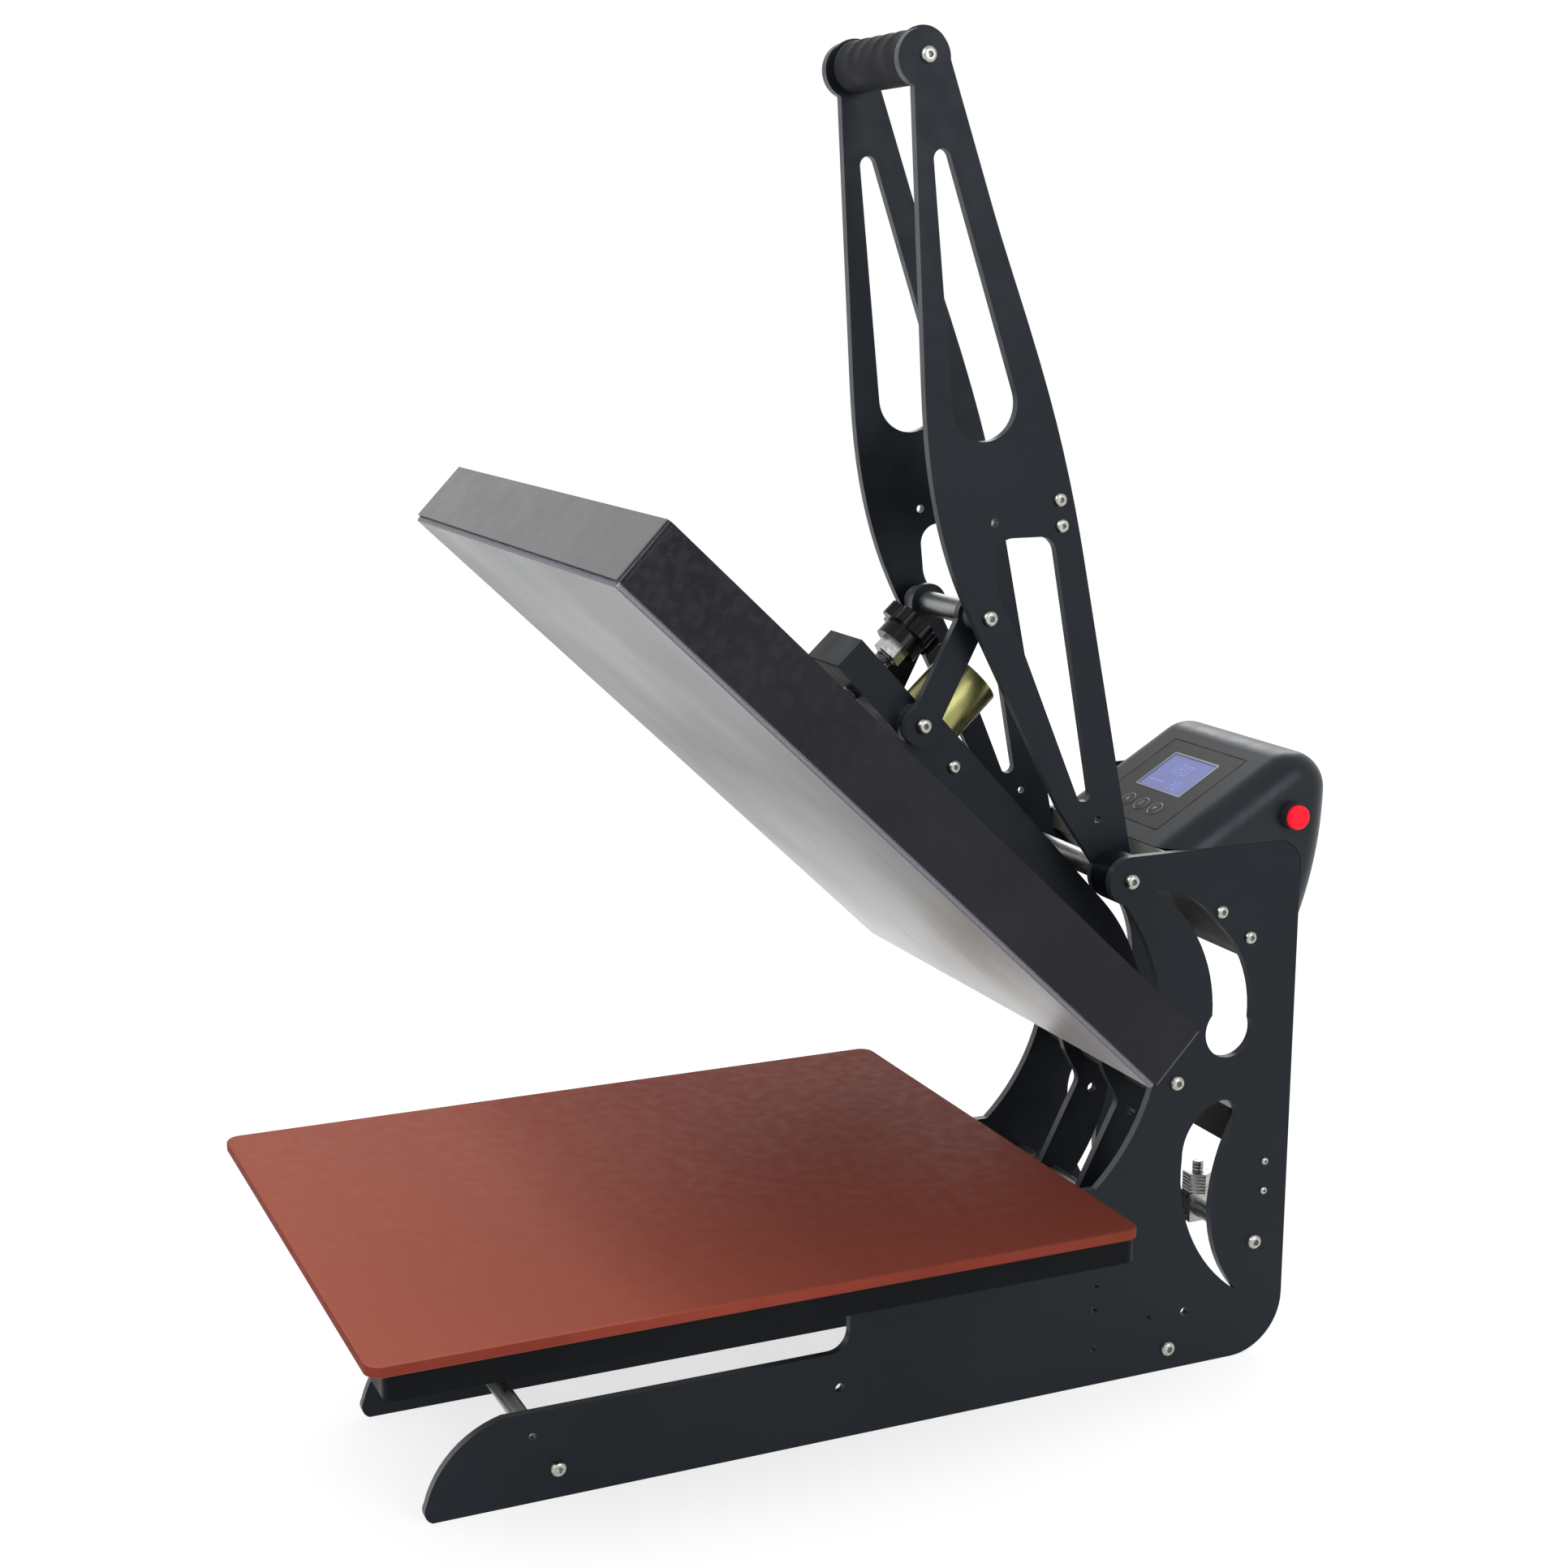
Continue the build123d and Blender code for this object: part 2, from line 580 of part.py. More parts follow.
with BuildPart() as box_core:
    with BuildSketch(side(0)):
        with BuildLine():
            core_foot, core_back = box_line(BOX_WALL, BOX_SEAT)
            Line(core_back, core_foot)
        make_face()
    extrude(amount=PLATE_OUTER - BOX_WALL, both=True)
    core_rim = box_core.faces().filter_by(Axis.X).edges()
    fillet([edge for edge in core_rim if edge.center().Z > BOX_SEAT + 2], BOX_ROUND - BOX_WALL)
with BuildPart() as control_box:
    with BuildSketch(side(0)) as box_outline:
        with BuildLine():
            box_foot, box_back = box_line(0, SKIRT_LOW)
            Polyline(box_back, (SKIRT_INNER, SKIRT_LOW), (SKIRT_INNER, BOX_SEAT - CORNER_ROUND))
            RadiusArc(
                (SKIRT_INNER, BOX_SEAT - CORNER_ROUND),
                (SKIRT_INNER - CORNER_ROUND, BOX_SEAT),
                -CORNER_ROUND,
            )
            Line((SKIRT_INNER - CORNER_ROUND, BOX_SEAT), box_foot)
        make_face()
    extrude(amount=PLATE_OUTER, both=True)
    rim = control_box.faces().filter_by(Axis.X).edges()
    outer_rim = [
        edge
        for edge in rim
        if edge.center().Z > BOX_SEAT + 5 or edge.center().Y > DATUM + SKIRT_INNER + 2
    ]
    fillet(outer_rim, BOX_ROUND)
    add(box_core.part, mode=Mode.SUBTRACT)
    slab(
        panel_face(0),
        (-PANEL_WIDTH / 2, PANEL_START),
        (PANEL_WIDTH / 2, PANEL_START + PANEL_LENGTH),
        -PANEL_SHEET,
        mode=Mode.SUBTRACT,
    )
    slab(
        panel_face(0),
        (-PANEL_WIDTH / 2 + 3, PANEL_START + 3),
        (PANEL_WIDTH / 2 - 3, PANEL_START + PANEL_LENGTH - 3),
        -BOARD_DEPTH - BOARD_SHEET,
        mode=Mode.SUBTRACT,
    )
    rod(side(PLATE_INNER - 6), POWER_BARREL + SHAFT_FIT, 12, mode=Mode.SUBTRACT, at=POWER_CENTRE)
    slab(
        side(-PLATE_OUTER),
        (INLET_CENTRE[0] - INLET_HALF[0], INLET_CENTRE[1] - INLET_HALF[1]),
        (INLET_CENTRE[0] + INLET_HALF[0], INLET_CENTRE[1] + INLET_HALF[1]),
        INLET_DEPTH + 8,
        mode=Mode.SUBTRACT,
    )
save(control_box.part, "control_box")

# Control panel: the flush insert with openings for the display and the buttons, on four posts
button_places = [(BUTTON_MIDDLE + step * BUTTON_SPACING, BUTTON_ALONG) for step in (-1, 0, 1)]
PANEL_CLEAR = 0.1
with BuildPart() as control_panel:
    with BuildSketch(panel_face(0)):
        with Locations((0, PANEL_START + PANEL_LENGTH / 2)):
            Rectangle(PANEL_WIDTH - 2 * PANEL_CLEAR, PANEL_LENGTH - 2 * PANEL_CLEAR)
        with Locations((0, DISPLAY_START + DISPLAY_LENGTH / 2)):
            Rectangle(DISPLAY_WIDTH + 0.4, DISPLAY_LENGTH + 0.4, mode=Mode.SUBTRACT)
        with Locations(*button_places):
            Circle(BUTTON_RADIUS + 0.3, mode=Mode.SUBTRACT)
    extrude(amount=-PANEL_SHEET)
    for x in (-36, 36):
        for along in (PANEL_START + 9, PANEL_START + PANEL_LENGTH - 9):
            rod(panel_face(PANEL_SHEET), 3, -(BOARD_DEPTH - PANEL_SHEET), at=(x, along))
save(control_panel.part, "control_panel")

# Display, standing on the board behind the panel
with BuildPart() as display:
    slab(
        panel_face(0.4),
        (-DISPLAY_WIDTH / 2, DISPLAY_START),
        (DISPLAY_WIDTH / 2, DISPLAY_START + DISPLAY_LENGTH),
        -(BOARD_DEPTH - 0.4),
    )
save(display.part, "display")

# Circuit board under the panel
with BuildPart() as control_board:
    slab(
        panel_face(BOARD_DEPTH),
        (-PANEL_WIDTH / 2 + 4, PANEL_START + 4),
        (PANEL_WIDTH / 2 - 4, PANEL_START + PANEL_LENGTH - 4),
        -BOARD_SHEET,
    )
save(control_board.part, "control_board")

# Panel buttons
for label, place in zip(("button_up", "button_menu", "button_down"), button_places):
    with BuildPart() as button:
        rod(panel_face(BOARD_DEPTH - BUTTON_TRAVEL - 0.3), 2, BOARD_DEPTH - BUTTON_TRAVEL - 0.3, at=place)
        rod(panel_face(PANEL_SHEET), BUTTON_RADIUS, PANEL_SHEET + 0.6, at=place)
    save(button.part, label)

# Power switch: collar and barrel in the side of the box, with its lit push button
COLLAR_OUT = 6.0
with BuildPart() as power_switch:
    rod(side(PLATE_OUTER), POWER_COLLAR, COLLAR_OUT, at=POWER_CENTRE)
    rod(side(PLATE_OUTER), POWER_BARREL, -26, at=POWER_CENTRE)
    rod(side(PLATE_OUTER + COLLAR_OUT), POWER_RADIUS + 0.2, -POWER_TRAVEL - 0.5, mode=Mode.SUBTRACT, at=POWER_CENTRE)
    rod(side(PLATE_OUTER + COLLAR_OUT), 4.2, -16, mode=Mode.SUBTRACT, at=POWER_CENTRE)
save(power_switch.part, "power_switch")
with BuildPart() as power_button:
    rod(side(PLATE_OUTER + COLLAR_OUT), POWER_RADIUS, 3.5, at=POWER_CENTRE)
    fillet(power_button.edges().group_by(Axis.X)[-1], 1.5)
    rod(side(PLATE_OUTER + COLLAR_OUT), 4, -12, at=POWER_CENTRE)
save(power_button.part, "power_button")

# Mains inlet in the box's left side
inlet_body = (INLET_HALF[0] - PANEL_CLEAR, INLET_HALF[1] - PANEL_CLEAR)
INLET_PINS = (-7.0, 0.0, 7.0)
with BuildPart() as power_inlet:
    for half, start, height, mode in (
        ((INLET_HALF[0] + INLET_LIP, INLET_HALF[1] + INLET_LIP), 0, -INLET_LIP_SHEET, Mode.ADD),
        (inlet_body, 0, INLET_DEPTH, Mode.ADD),
        (
            (INLET_HALF[0] - INLET_WALL, INLET_HALF[1] - INLET_WALL),
            -INLET_LIP_SHEET,
            INLET_DEPTH - INLET_WALL,
            Mode.SUBTRACT,
        ),
    ):
        slab(
            side(-PLATE_OUTER + start),
            (INLET_CENTRE[0] - half[0], INLET_CENTRE[1] - half[1]),
            (INLET_CENTRE[0] + half[0], INLET_CENTRE[1] + half[1]),
            height,
            mode=mode,
        )
    for step in INLET_PINS:
        slab(
            side(-PLATE_OUTER + INLET_DEPTH - INLET_WALL),
            (INLET_CENTRE[0] + step - 1, INLET_CENTRE[1] - 3),
            (INLET_CENTRE[0] + step + 1, INLET_CENTRE[1] + 3),
            -(INLET_DEPTH - 2 * INLET_WALL),
        )
save(power_inlet.part, "power_inlet")

# Relay on a bracket inside the rear of the frame
with BuildPart() as relay:
    slab(
        level(RELAY_LOW),
        (RELAY_LEFT, BRACKET_FRONT - RELAY_SIZE[1]),
        (RELAY_LEFT + RELAY_SIZE[0], BRACKET_FRONT),
        RELAY_SIZE[2],
    )
    fillet(relay.edges().filter_by(Axis.Z), 2)
save(relay.part, "relay")
with BuildPart() as relay_bracket:
    slab(
        level(RELAY_LOW + 2),
        (RELAY_LEFT - 2, BRACKET_FRONT),
        (PLATE_INNER, BRACKET_FRONT + BRACKET_SHEET),
        BRACKET_HEIGHT,
    )
save(relay_bracket.part, "relay_bracket")

# Limit switch on the right side plate, pressed by the tail pin when the press is shut
switch_low = ((SWITCH_SCREWS[0][0] - 11.7), (SWITCH_SCREWS[1][1] - 3))
switch_lever = (switch_low[0] - 10.5, switch_low[1] - 1.4)
with BuildPart() as limit_switch:
    slab(
        side(PLATE_INNER), switch_low,
        (switch_low[0] + SWITCH_BODY[0], switch_low[1] + SWITCH_BODY[1]), -SWITCH_BODY[2],
    )
    for centre in SWITCH_SCREWS:
        rod(side(PLATE_INNER), M3_RADIUS + SCREW_FIT, -SWITCH_BODY[2], mode=Mode.SUBTRACT, at=centre)
    slab(side(PLATE_INNER - 2), switch_lever, (switch_lever[0] + 0.8, switch_lever[1] + 25), -SWITCH_ARM)
    slab(
        side(PLATE_INNER - 2), (switch_lever[0], switch_lever[1] + 24),
        (switch_low[0], switch_lever[1] + 25), -SWITCH_ARM,
    )
save(limit_switch.part, "limit_switch")
with BuildPart() as switch_screws:
    for centre in SWITCH_SCREWS:
        button_screw(side(PLATE_OUTER), 1, centre, M3_RADIUS, M3_HEAD, M3_HEAD_HEIGHT, PLATE_THICKNESS + 12)
save(switch_screws.part, "switch_screws")

# Stop: a block clamped on the rear tie rod, with its bolt and lock nut
STOP_X = 8.0
STOP_ROD = TIE_RODS[2]
with BuildPart() as stop_block:
    slab(side(STOP_X - 6.5), (STOP_ROD[0] - 10, STOP_ROD[1] - 9), (STOP_ROD[0] + 10, STOP_ROD[1] + 13), 13)
    rod(side(STOP_X - 6.5), ROD_RADIUS + SHAFT_FIT, 13, mode=Mode.SUBTRACT, at=STOP_ROD)
save(stop_block.part, "stop_block")
STOP_TOP = STOP_ROD[1] + 13
with BuildPart() as stop_bolt:
    rod(level(STOP_TOP), 4, 23, at=(STOP_X, STOP_ROD[0]))
    with BuildSketch(level(STOP_TOP)) as nut:
        with Locations((STOP_X, STOP_ROD[0])):
            RegularPolygon(19 / sqrt(3), 6)
    extrude(nut.sketch, amount=15)
save(stop_bolt.part, "stop_bolt")

# Handle plates
crank = relative(CRANK_PIN, HANDLE_PIVOT)
grip_left = (GRIP_CENTRE[0] - 9.3, GRIP_CENTRE[1] - 18.5)
grip_right = (GRIP_CENTRE[0] + 15.7, GRIP_CENTRE[1] - 2.5)
ARMATURE_SCREWS = ((-47.9, 255.1), (-45.9, 238.1))
with BuildSketch() as upper_slot:
    with Locations((-137.4, 468.6)):
        Circle(6)
    with Locations((-104.4, 317.6)):
        Circle(23.5)
    make_hull()
for sign, label in ((1, "handle_plate_right"), (-1, "handle_plate_left")):
    with BuildPart() as handle_plate:
        with BuildSketch(handle_side(sign * HANDLE_INNER)):
            with BuildLine():
                Line((-14.2, 7.4), (-42.9, 48.6))
                Line((-42.9, 48.6), (-104.4, 166.6))
                Spline(
                    (-104.4, 166.6),
                    (-122.5, 204),
                    (-135.4, 242.6),
                    (-143.8, 287),
                    (-147.4, 329.6),
                    tangents=[(-15, 29), (-10, 182)],
                )
                Line((-147.4, 329.6), grip_left)
                ThreePointArc(
                    grip_left,
                    polar(GRIP_CENTRE, 16.5, 100),
                    grip_right,
                )
                Line(grip_right, (-101.4, 439.6))
                Spline(
                    (-101.4, 439.6),
                    (-79.4, 382),
                    (-53, 309),
                    (-28.4, 215.6),
                    tangents=[(31, -88), (38, -181)],
                )
                Line((-28.4, 215.6), (15.6, 6.0))
                ThreePointArc((15.6, 6.0), (0, -16.7), (-14.2, 7.4))
            make_face()
            add(upper_slot.sketch, mode=Mode.SUBTRACT)
            with BuildLine():
                FilletPolyline(
                    (-96.5, 231.6),
                    (-93, 197),
                    (-71.4, 154.5),
                    (-27.5, 52),
                    (-18, 52),
                    (-51.5, 231.6),
                    radius=[13, 20, 60, 4.4, 4.4, 12],
                    close=True,
                )
            make_face(mode=Mode.SUBTRACT)
            Circle(SHAFT_RADIUS + SHAFT_FIT, mode=Mode.SUBTRACT)
            with Locations(crank):
                Circle(M6_RADIUS + SCREW_FIT, mode=Mode.SUBTRACT)
            with Locations(GRIP_CENTRE):
                Circle(M6_RADIUS + SCREW_FIT, mode=Mode.SUBTRACT)
            with Locations(*ARMATURE_SCREWS):
                Circle(M5_RADIUS + SCREW_FIT, mode=Mode.SUBTRACT)
            with Locations((-95.9, 242.1)):
                Circle(2.75, mode=Mode.SUBTRACT)
            with Locations((-12.4, 38.6)):
                Circle(2.5, mode=Mode.SUBTRACT)
        extrude(amount=sign * HANDLE_THICKNESS)
    save(handle_plate.part, label)

# Bushes between the handle plates and the side plates
with BuildPart() as handle_bushes:
    for sign in (1, -1):
        length = PLATE_INNER - HANDLE_OUTER - RUNNING_GAP
        rod(handle_side(sign * HANDLE_OUTER), EAR_RADIUS, sign * length)
        rod(handle_side(sign * HANDLE_OUTER), SHAFT_RADIUS + SHAFT_FIT, sign * length, mode=Mode.SUBTRACT)
save(handle_bushes.part, "handle_bushes")

# Grip: foam sleeve with finger scallops, its rod, end flanges and screws
SCALLOPS = 5
SCALLOP_PITCH = 17.0
SCALLOP_RADIUS = 13.0
SCALLOP_DEPTH = 1.8
GRIP_HALF = HANDLE_INNER - GRIP_FLANGE
with BuildPart() as handle_grip:
    rod(handle_side(-GRIP_HALF), GRIP_RADIUS, 2 * GRIP_HALF, at=GRIP_CENTRE)
    for step in range(SCALLOPS):
        x = (step - (SCALLOPS - 1) / 2) * SCALLOP_PITCH
        scallop = Plane(
            origin=(
                x,
                DATUM + HANDLE_PIVOT[0] + GRIP_CENTRE[0] - 30,
                HANDLE_PIVOT[1] + GRIP_CENTRE[1] + GRIP_RADIUS + SCALLOP_RADIUS - SCALLOP_DEPTH,
            ),
            x_dir=(1, 0, 0),
            z_dir=(0, 1, 0),
        )
        rod(scallop, SCALLOP_RADIUS, 60, mode=Mode.SUBTRACT)
    rod(handle_side(-GRIP_HALF), GRIP_ROD_RADIUS + SHAFT_FIT, 2 * GRIP_HALF, mode=Mode.SUBTRACT, at=GRIP_CENTRE)
save(handle_grip.part, "handle_grip")
with BuildPart() as grip_rod:
    rod(handle_side(-HANDLE_INNER), GRIP_ROD_RADIUS, 2 * HANDLE_INNER, at=GRIP_CENTRE)
    for sign in (1, -1):
        rod(handle_side(sign * HANDLE_INNER), M6_RADIUS + SCREW_FIT, -sign * TAP_DEPTH, mode=Mode.SUBTRACT, at=GRIP_CENTRE)
save(grip_rod.part, "grip_rod")
with BuildPart() as grip_flanges:
    for sign in (1, -1):
        rod(handle_side(sign * HANDLE_INNER), GRIP_FLANGE_RADIUS, -sign * GRIP_FLANGE, at=GRIP_CENTRE)
        rod(
            handle_side(sign * HANDLE_INNER), GRIP_ROD_RADIUS + SHAFT_FIT, -sign * GRIP_FLANGE,
            mode=Mode.SUBTRACT, at=GRIP_CENTRE,
        )
save(grip_flanges.part, "grip_flanges")
with BuildPart() as grip_screws:
    for sign in (1, -1):
        button_screw(
            handle_side(sign * HANDLE_OUTER), sign, GRIP_CENTRE, M6_RADIUS, M6_HEAD, M6_HEAD_HEIGHT,
            HANDLE_THICKNESS + TAP_DEPTH - 2,
        )
save(grip_screws.part, "grip_screws")

# Armature: a steel disc on a cross bar, which the magnet holds while the press is shut
ARMATURE_RADIUS = 21.0
ARMATURE_HEIGHT = 10.0
ARMATURE_BOTTOM = MAGNET_TOP + MAGNET_GAP
bar_closed = swing(
    (
        HANDLE_PIVOT[0] + (ARMATURE_SCREWS[0][0] + ARMATURE_SCREWS[1][0]) / 2,
        HANDLE_PIVOT[1] + (ARMATURE_SCREWS[0][1] + ARMATURE_SCREWS[1][1]) / 2,
    ),
    HANDLE_PIVOT,
    HANDLE_TRAVEL,
)
BAR_HALF_DEPTH = 14.0
BAR_HEIGHT = 12.0
BAR_BOTTOM = bar_closed[1] - BAR_HEIGHT / 2
STEM_RADIUS = 7.0
with BuildPart() as armature:
    rod(handle_level(ARMATURE_BOTTOM), ARMATURE_RADIUS, ARMATURE_HEIGHT, at=(0, MAGNET_Y))
    rod(
        handle_level(ARMATURE_BOTTOM + ARMATURE_HEIGHT), STEM_RADIUS,
        BAR_BOTTOM - ARMATURE_BOTTOM - ARMATURE_HEIGHT, at=(0, MAGNET_Y),
    )
save(armature.part, "armature")
with BuildPart() as armature_bar:
    slab(
        handle_level(BAR_BOTTOM),
        (-HANDLE_INNER, bar_closed[0] - BAR_HALF_DEPTH),
        (HANDLE_INNER, bar_closed[0] + BAR_HALF_DEPTH),
        BAR_HEIGHT,
    )
    for sign in (1, -1):
        for centre in ARMATURE_SCREWS:
            rod(handle_side(sign * HANDLE_INNER), M5_RADIUS + SCREW_FIT, -sign * 14, mode=Mode.SUBTRACT, at=centre)
save(armature_bar.part, "armature_bar")
with BuildPart() as armature_screws:
    for sign in (1, -1):
        for centre in ARMATURE_SCREWS:
            button_screw(
                handle_side(sign * HANDLE_OUTER), sign, centre, M5_RADIUS, M5_HEAD, M5_HEAD_HEIGHT,
                HANDLE_THICKNESS + 12,
            )
save(armature_screws.part, "armature_screws")

# Crank screws, through the handle plates only
with BuildPart() as crank_screws:
    for sign in (1, -1):
        button_screw(
            handle_side(sign * HANDLE_OUTER), sign, crank, M6_RADIUS, M6_HEAD, M6_HEAD_HEIGHT,
            HANDLE_THICKNESS,
        )
save(crank_screws.part, "crank_screws")

# Links between arm and handle
LINK_END = 13.9
CRANK_END = 13.0
LINK_WAIST = 21.0
CORE_RADIUS = 4.0
for sign, label in ((1, "link_right"), (-1, "link_left")):
    with BuildPart() as link:
        with BuildSketch(link_side(sign * LINK_INNER)):
            Circle(LINK_END)
            with Locations((LINK_LENGTH, 0)):
                Circle(CRANK_END)
            with Locations((LINK_LENGTH / 2, 0)):
                Rectangle(LINK_LENGTH, LINK_WAIST)
            Circle(M6_RADIUS + SHAFT_FIT, mode=Mode.SUBTRACT)
            with Locations((LINK_LENGTH, 0)):
                Circle(CORE_RADIUS + SHAFT_FIT, mode=Mode.SUBTRACT)
        extrude(amount=sign * LINK_THICKNESS)
    save(link.part, label)

# Tube that joins the links, with its core running out into the spacers
TUBE_RADIUS = 8.0
SPACER_RADIUS = 9.5
SPACER_END = HANDLE_INNER - RUNNING_GAP
with BuildPart() as link_tube:
    rod(link_side(-LINK_INNER), TUBE_RADIUS, 2 * LINK_INNER, at=(LINK_LENGTH, 0))
    rod(link_side(-SPACER_END), CORE_RADIUS, 2 * SPACER_END, at=(LINK_LENGTH, 0))
save(link_tube.part, "link_tube")
with BuildPart() as link_spacers:
    for sign in (1, -1):
        length = sign * (SPACER_END - LINK_OUTER)
        rod(link_side(sign * LINK_OUTER), SPACER_RADIUS, length, at=(LINK_LENGTH, 0))
        rod(link_side(sign * LINK_OUTER), CORE_RADIUS + SHAFT_FIT, length, mode=Mode.SUBTRACT, at=(LINK_LENGTH, 0))
save(link_spacers.part, "link_spacers")

# Arm plates, drawn shut and level
ARM_NOSE = 14.3
PIVOT_BOSS = 24.0
TAIL_END = 14.0
ARM_TOP = LINK_PIN_CLOSED[1] + ARM_NOSE
SHOULDER_START = (490.0, ARM_TOP)
SHOULDER_END = (537.8, ARM_TOP - 9.2)
BOSS_TOP = polar(ARM_PIVOT, PIVOT_BOSS, 67)
BOSS_REAR = polar(ARM_PIVOT, PIVOT_BOSS, -12)
TAIL_REAR = polar(TAIL_PIN, TAIL_END, 12)
TAIL_FRONT = polar(TAIL_PIN, TAIL_END, 200)
HINGE_BOSS = (HINGE_CLOSED[0], HINGE_CLOSED[1] - 10.0)
HANGER_PIN_RADIUS = 4.0
for sign, label in ((1, "arm_plate_right"), (-1, "arm_plate_left")):
    with BuildPart() as arm_plate:
        with BuildSketch(arm_side(sign * ARM_INNER)):
            with BuildLine():
                ThreePointArc(
                    (LINK_PIN_CLOSED[0], LINK_PIN_CLOSED[1] - ARM_NOSE),
                    (LINK_PIN_CLOSED[0] - ARM_NOSE, LINK_PIN_CLOSED[1]),
                    (LINK_PIN_CLOSED[0], ARM_TOP),
                )
                Line((LINK_PIN_CLOSED[0], ARM_TOP), SHOULDER_START)
                TangentArc(SHOULDER_START, SHOULDER_END, tangent=(1, 0))
                Line(SHOULDER_END, BOSS_TOP)
                ThreePointArc(BOSS_TOP, polar(ARM_PIVOT, PIVOT_BOSS, 28), BOSS_REAR)
                ThreePointArc(BOSS_REAR, (648.5, 172), TAIL_REAR)
                ThreePointArc(TAIL_REAR, polar(TAIL_PIN, TAIL_END, -75), TAIL_FRONT)
                FilletPolyline(
                    TAIL_FRONT,
                    (611, 184),
                    (586, 190),
                    (506, 226),
                    (HINGE_BOSS[0] + 20, HINGE_BOSS[1] + 1.5),
                    (HINGE_BOSS[0] - 8, HINGE_BOSS[1]),
                    (LINK_PIN_CLOSED[0], LINK_PIN_CLOSED[1] - ARM_NOSE),
                    radius=[10, 14, 20, 20, 30],
                )
            make_face()
            with Locations(LINK_PIN_CLOSED):
                Circle(M6_RADIUS + SCREW_FIT, mode=Mode.SUBTRACT)
            with Locations(ARM_SCREW):
                Circle(M5_RADIUS + SCREW_FIT, mode=Mode.SUBTRACT)
            with Locations(ARM_PIVOT):
                Circle(ARM_SHAFT_RADIUS + SHAFT_FIT, mode=Mode.SUBTRACT)
            with Locations(TAIL_PIN):
                Circle(TAIL_PIN_RADIUS + SCREW_FIT, mode=Mode.SUBTRACT)
            with Locations((624.6, 185.8)):
                Circle(3.5, mode=Mode.SUBTRACT)
            with Locations(HINGE_CLOSED):
                Circle(HANGER_PIN_RADIUS + SHAFT_FIT, mode=Mode.SUBTRACT)
        extrude(amount=sign * ARM_THICKNESS)
    save(arm_plate.part, label)

# Beam between the arm plates, tapped for the stud and the screws
with BuildPart() as beam:
    slab(arm_level(BEAM_BOTTOM), (-ARM_INNER, BEAM_FRONT), (ARM_INNER, BEAM_REAR), BEAM_TOP - BEAM_BOTTOM)
    chamfer(beam.edges().group_by(Axis.Y)[0], 0.6)
    rod(
        arm_level(BEAM_BOTTOM), STUD_RADIUS + SHAFT_FIT, BEAM_TOP - BEAM_BOTTOM,
        mode=Mode.SUBTRACT, at=(0, STUD_Y),
    )
    for sign in (1, -1):
        rod(arm_side(sign * ARM_INNER), M6_RADIUS + SCREW_FIT, -sign * 14, mode=Mode.SUBTRACT, at=LINK_PIN_CLOSED)
        rod(arm_side(sign * ARM_INNER), M5_RADIUS + SCREW_FIT, -sign * 12, mode=Mode.SUBTRACT, at=ARM_SCREW)
save(beam.part, "beam")
with BuildPart() as arm_screws:
    for sign in (1, -1):
        button_screw(
            arm_side(sign * ARM_OUTER), sign, ARM_SCREW, M5_RADIUS, M5_HEAD, M5_HEAD_HEIGHT,
            ARM_THICKNESS + 10,
        )
save(arm_screws.part, "arm_screws")
with BuildPart() as link_screws:
    for sign in (1, -1):
        button_screw(
            arm_side(sign * (LINK_OUTER + RUNNING_GAP)), sign, LINK_PIN_CLOSED, M6_RADIUS, M6_HEAD,
            M6_HEAD_HEIGHT, LINK_OUTER + RUNNING_GAP - ARM_INNER + 12,
        )
save(link_screws.part, "link_screws")

# Hub tube that the arm turns on
with BuildPart() as arm_hub:
    rod(arm_side(-ARM_INNER), HUB_RADIUS, 2 * ARM_INNER, at=ARM_PIVOT)
    rod(arm_side(-ARM_INNER), ARM_SHAFT_RADIUS + SHAFT_FIT, 2 * ARM_INNER, mode=Mode.SUBTRACT, at=ARM_PIVOT)
save(arm_hub.part, "arm_hub")

# Holding magnet: plated cup, with its wound core
with BuildPart() as magnet_cup:
    rod(arm_level(BEAM_TOP), MAGNET_RADIUS, MAGNET_TOP - BEAM_TOP, at=(0, MAGNET_Y))
    rod(
        arm_level(BEAM_TOP + 6), MAGNET_RADIUS - MAGNET_WALL, MAGNET_TOP - BEAM_TOP - 6,
        mode=Mode.SUBTRACT, at=(0, MAGNET_Y),
    )
save(magnet_cup.part, "magnet_cup")
with BuildPart() as magnet_core:
    rod(
        arm_level(BEAM_TOP + 6), MAGNET_RADIUS - MAGNET_WALL - SHAFT_FIT, MAGNET_TOP - BEAM_TOP - 9,
        at=(0, MAGNET_Y),
    )
    rod(arm_level(BEAM_TOP + 6), 10, MAGNET_TOP - BEAM_TOP - 6.3, at=(0, MAGNET_Y))
save(magnet_core.part, "magnet_core")

# Tail pin and the two springs that lift the arm
with BuildPart() as tail_pin:
    rod(arm_side(-TAIL_PIN_REACH), TAIL_PIN_RADIUS, 2 * TAIL_PIN_REACH, at=TAIL_PIN)
save(tail_pin.part, "tail_pin")
SPRING_EYE = TAIL_PIN_RADIUS + 3.0
SPRING_TURN = bearing(SPRING_ANCHOR, TAIL_PIN_OPEN)
SPRING_SPAN = hypot(TAIL_PIN_OPEN[0] - SPRING_ANCHOR[0], TAIL_PIN_OPEN[1] - SPRING_ANCHOR[1])
spring_axis = Plane(
    origin=(0, DATUM + SPRING_ANCHOR[0], SPRING_ANCHOR[1]),
    x_dir=(1, 0, 0),
    z_dir=(0, cos(radians(SPRING_TURN)), sin(radians(SPRING_TURN))),
)
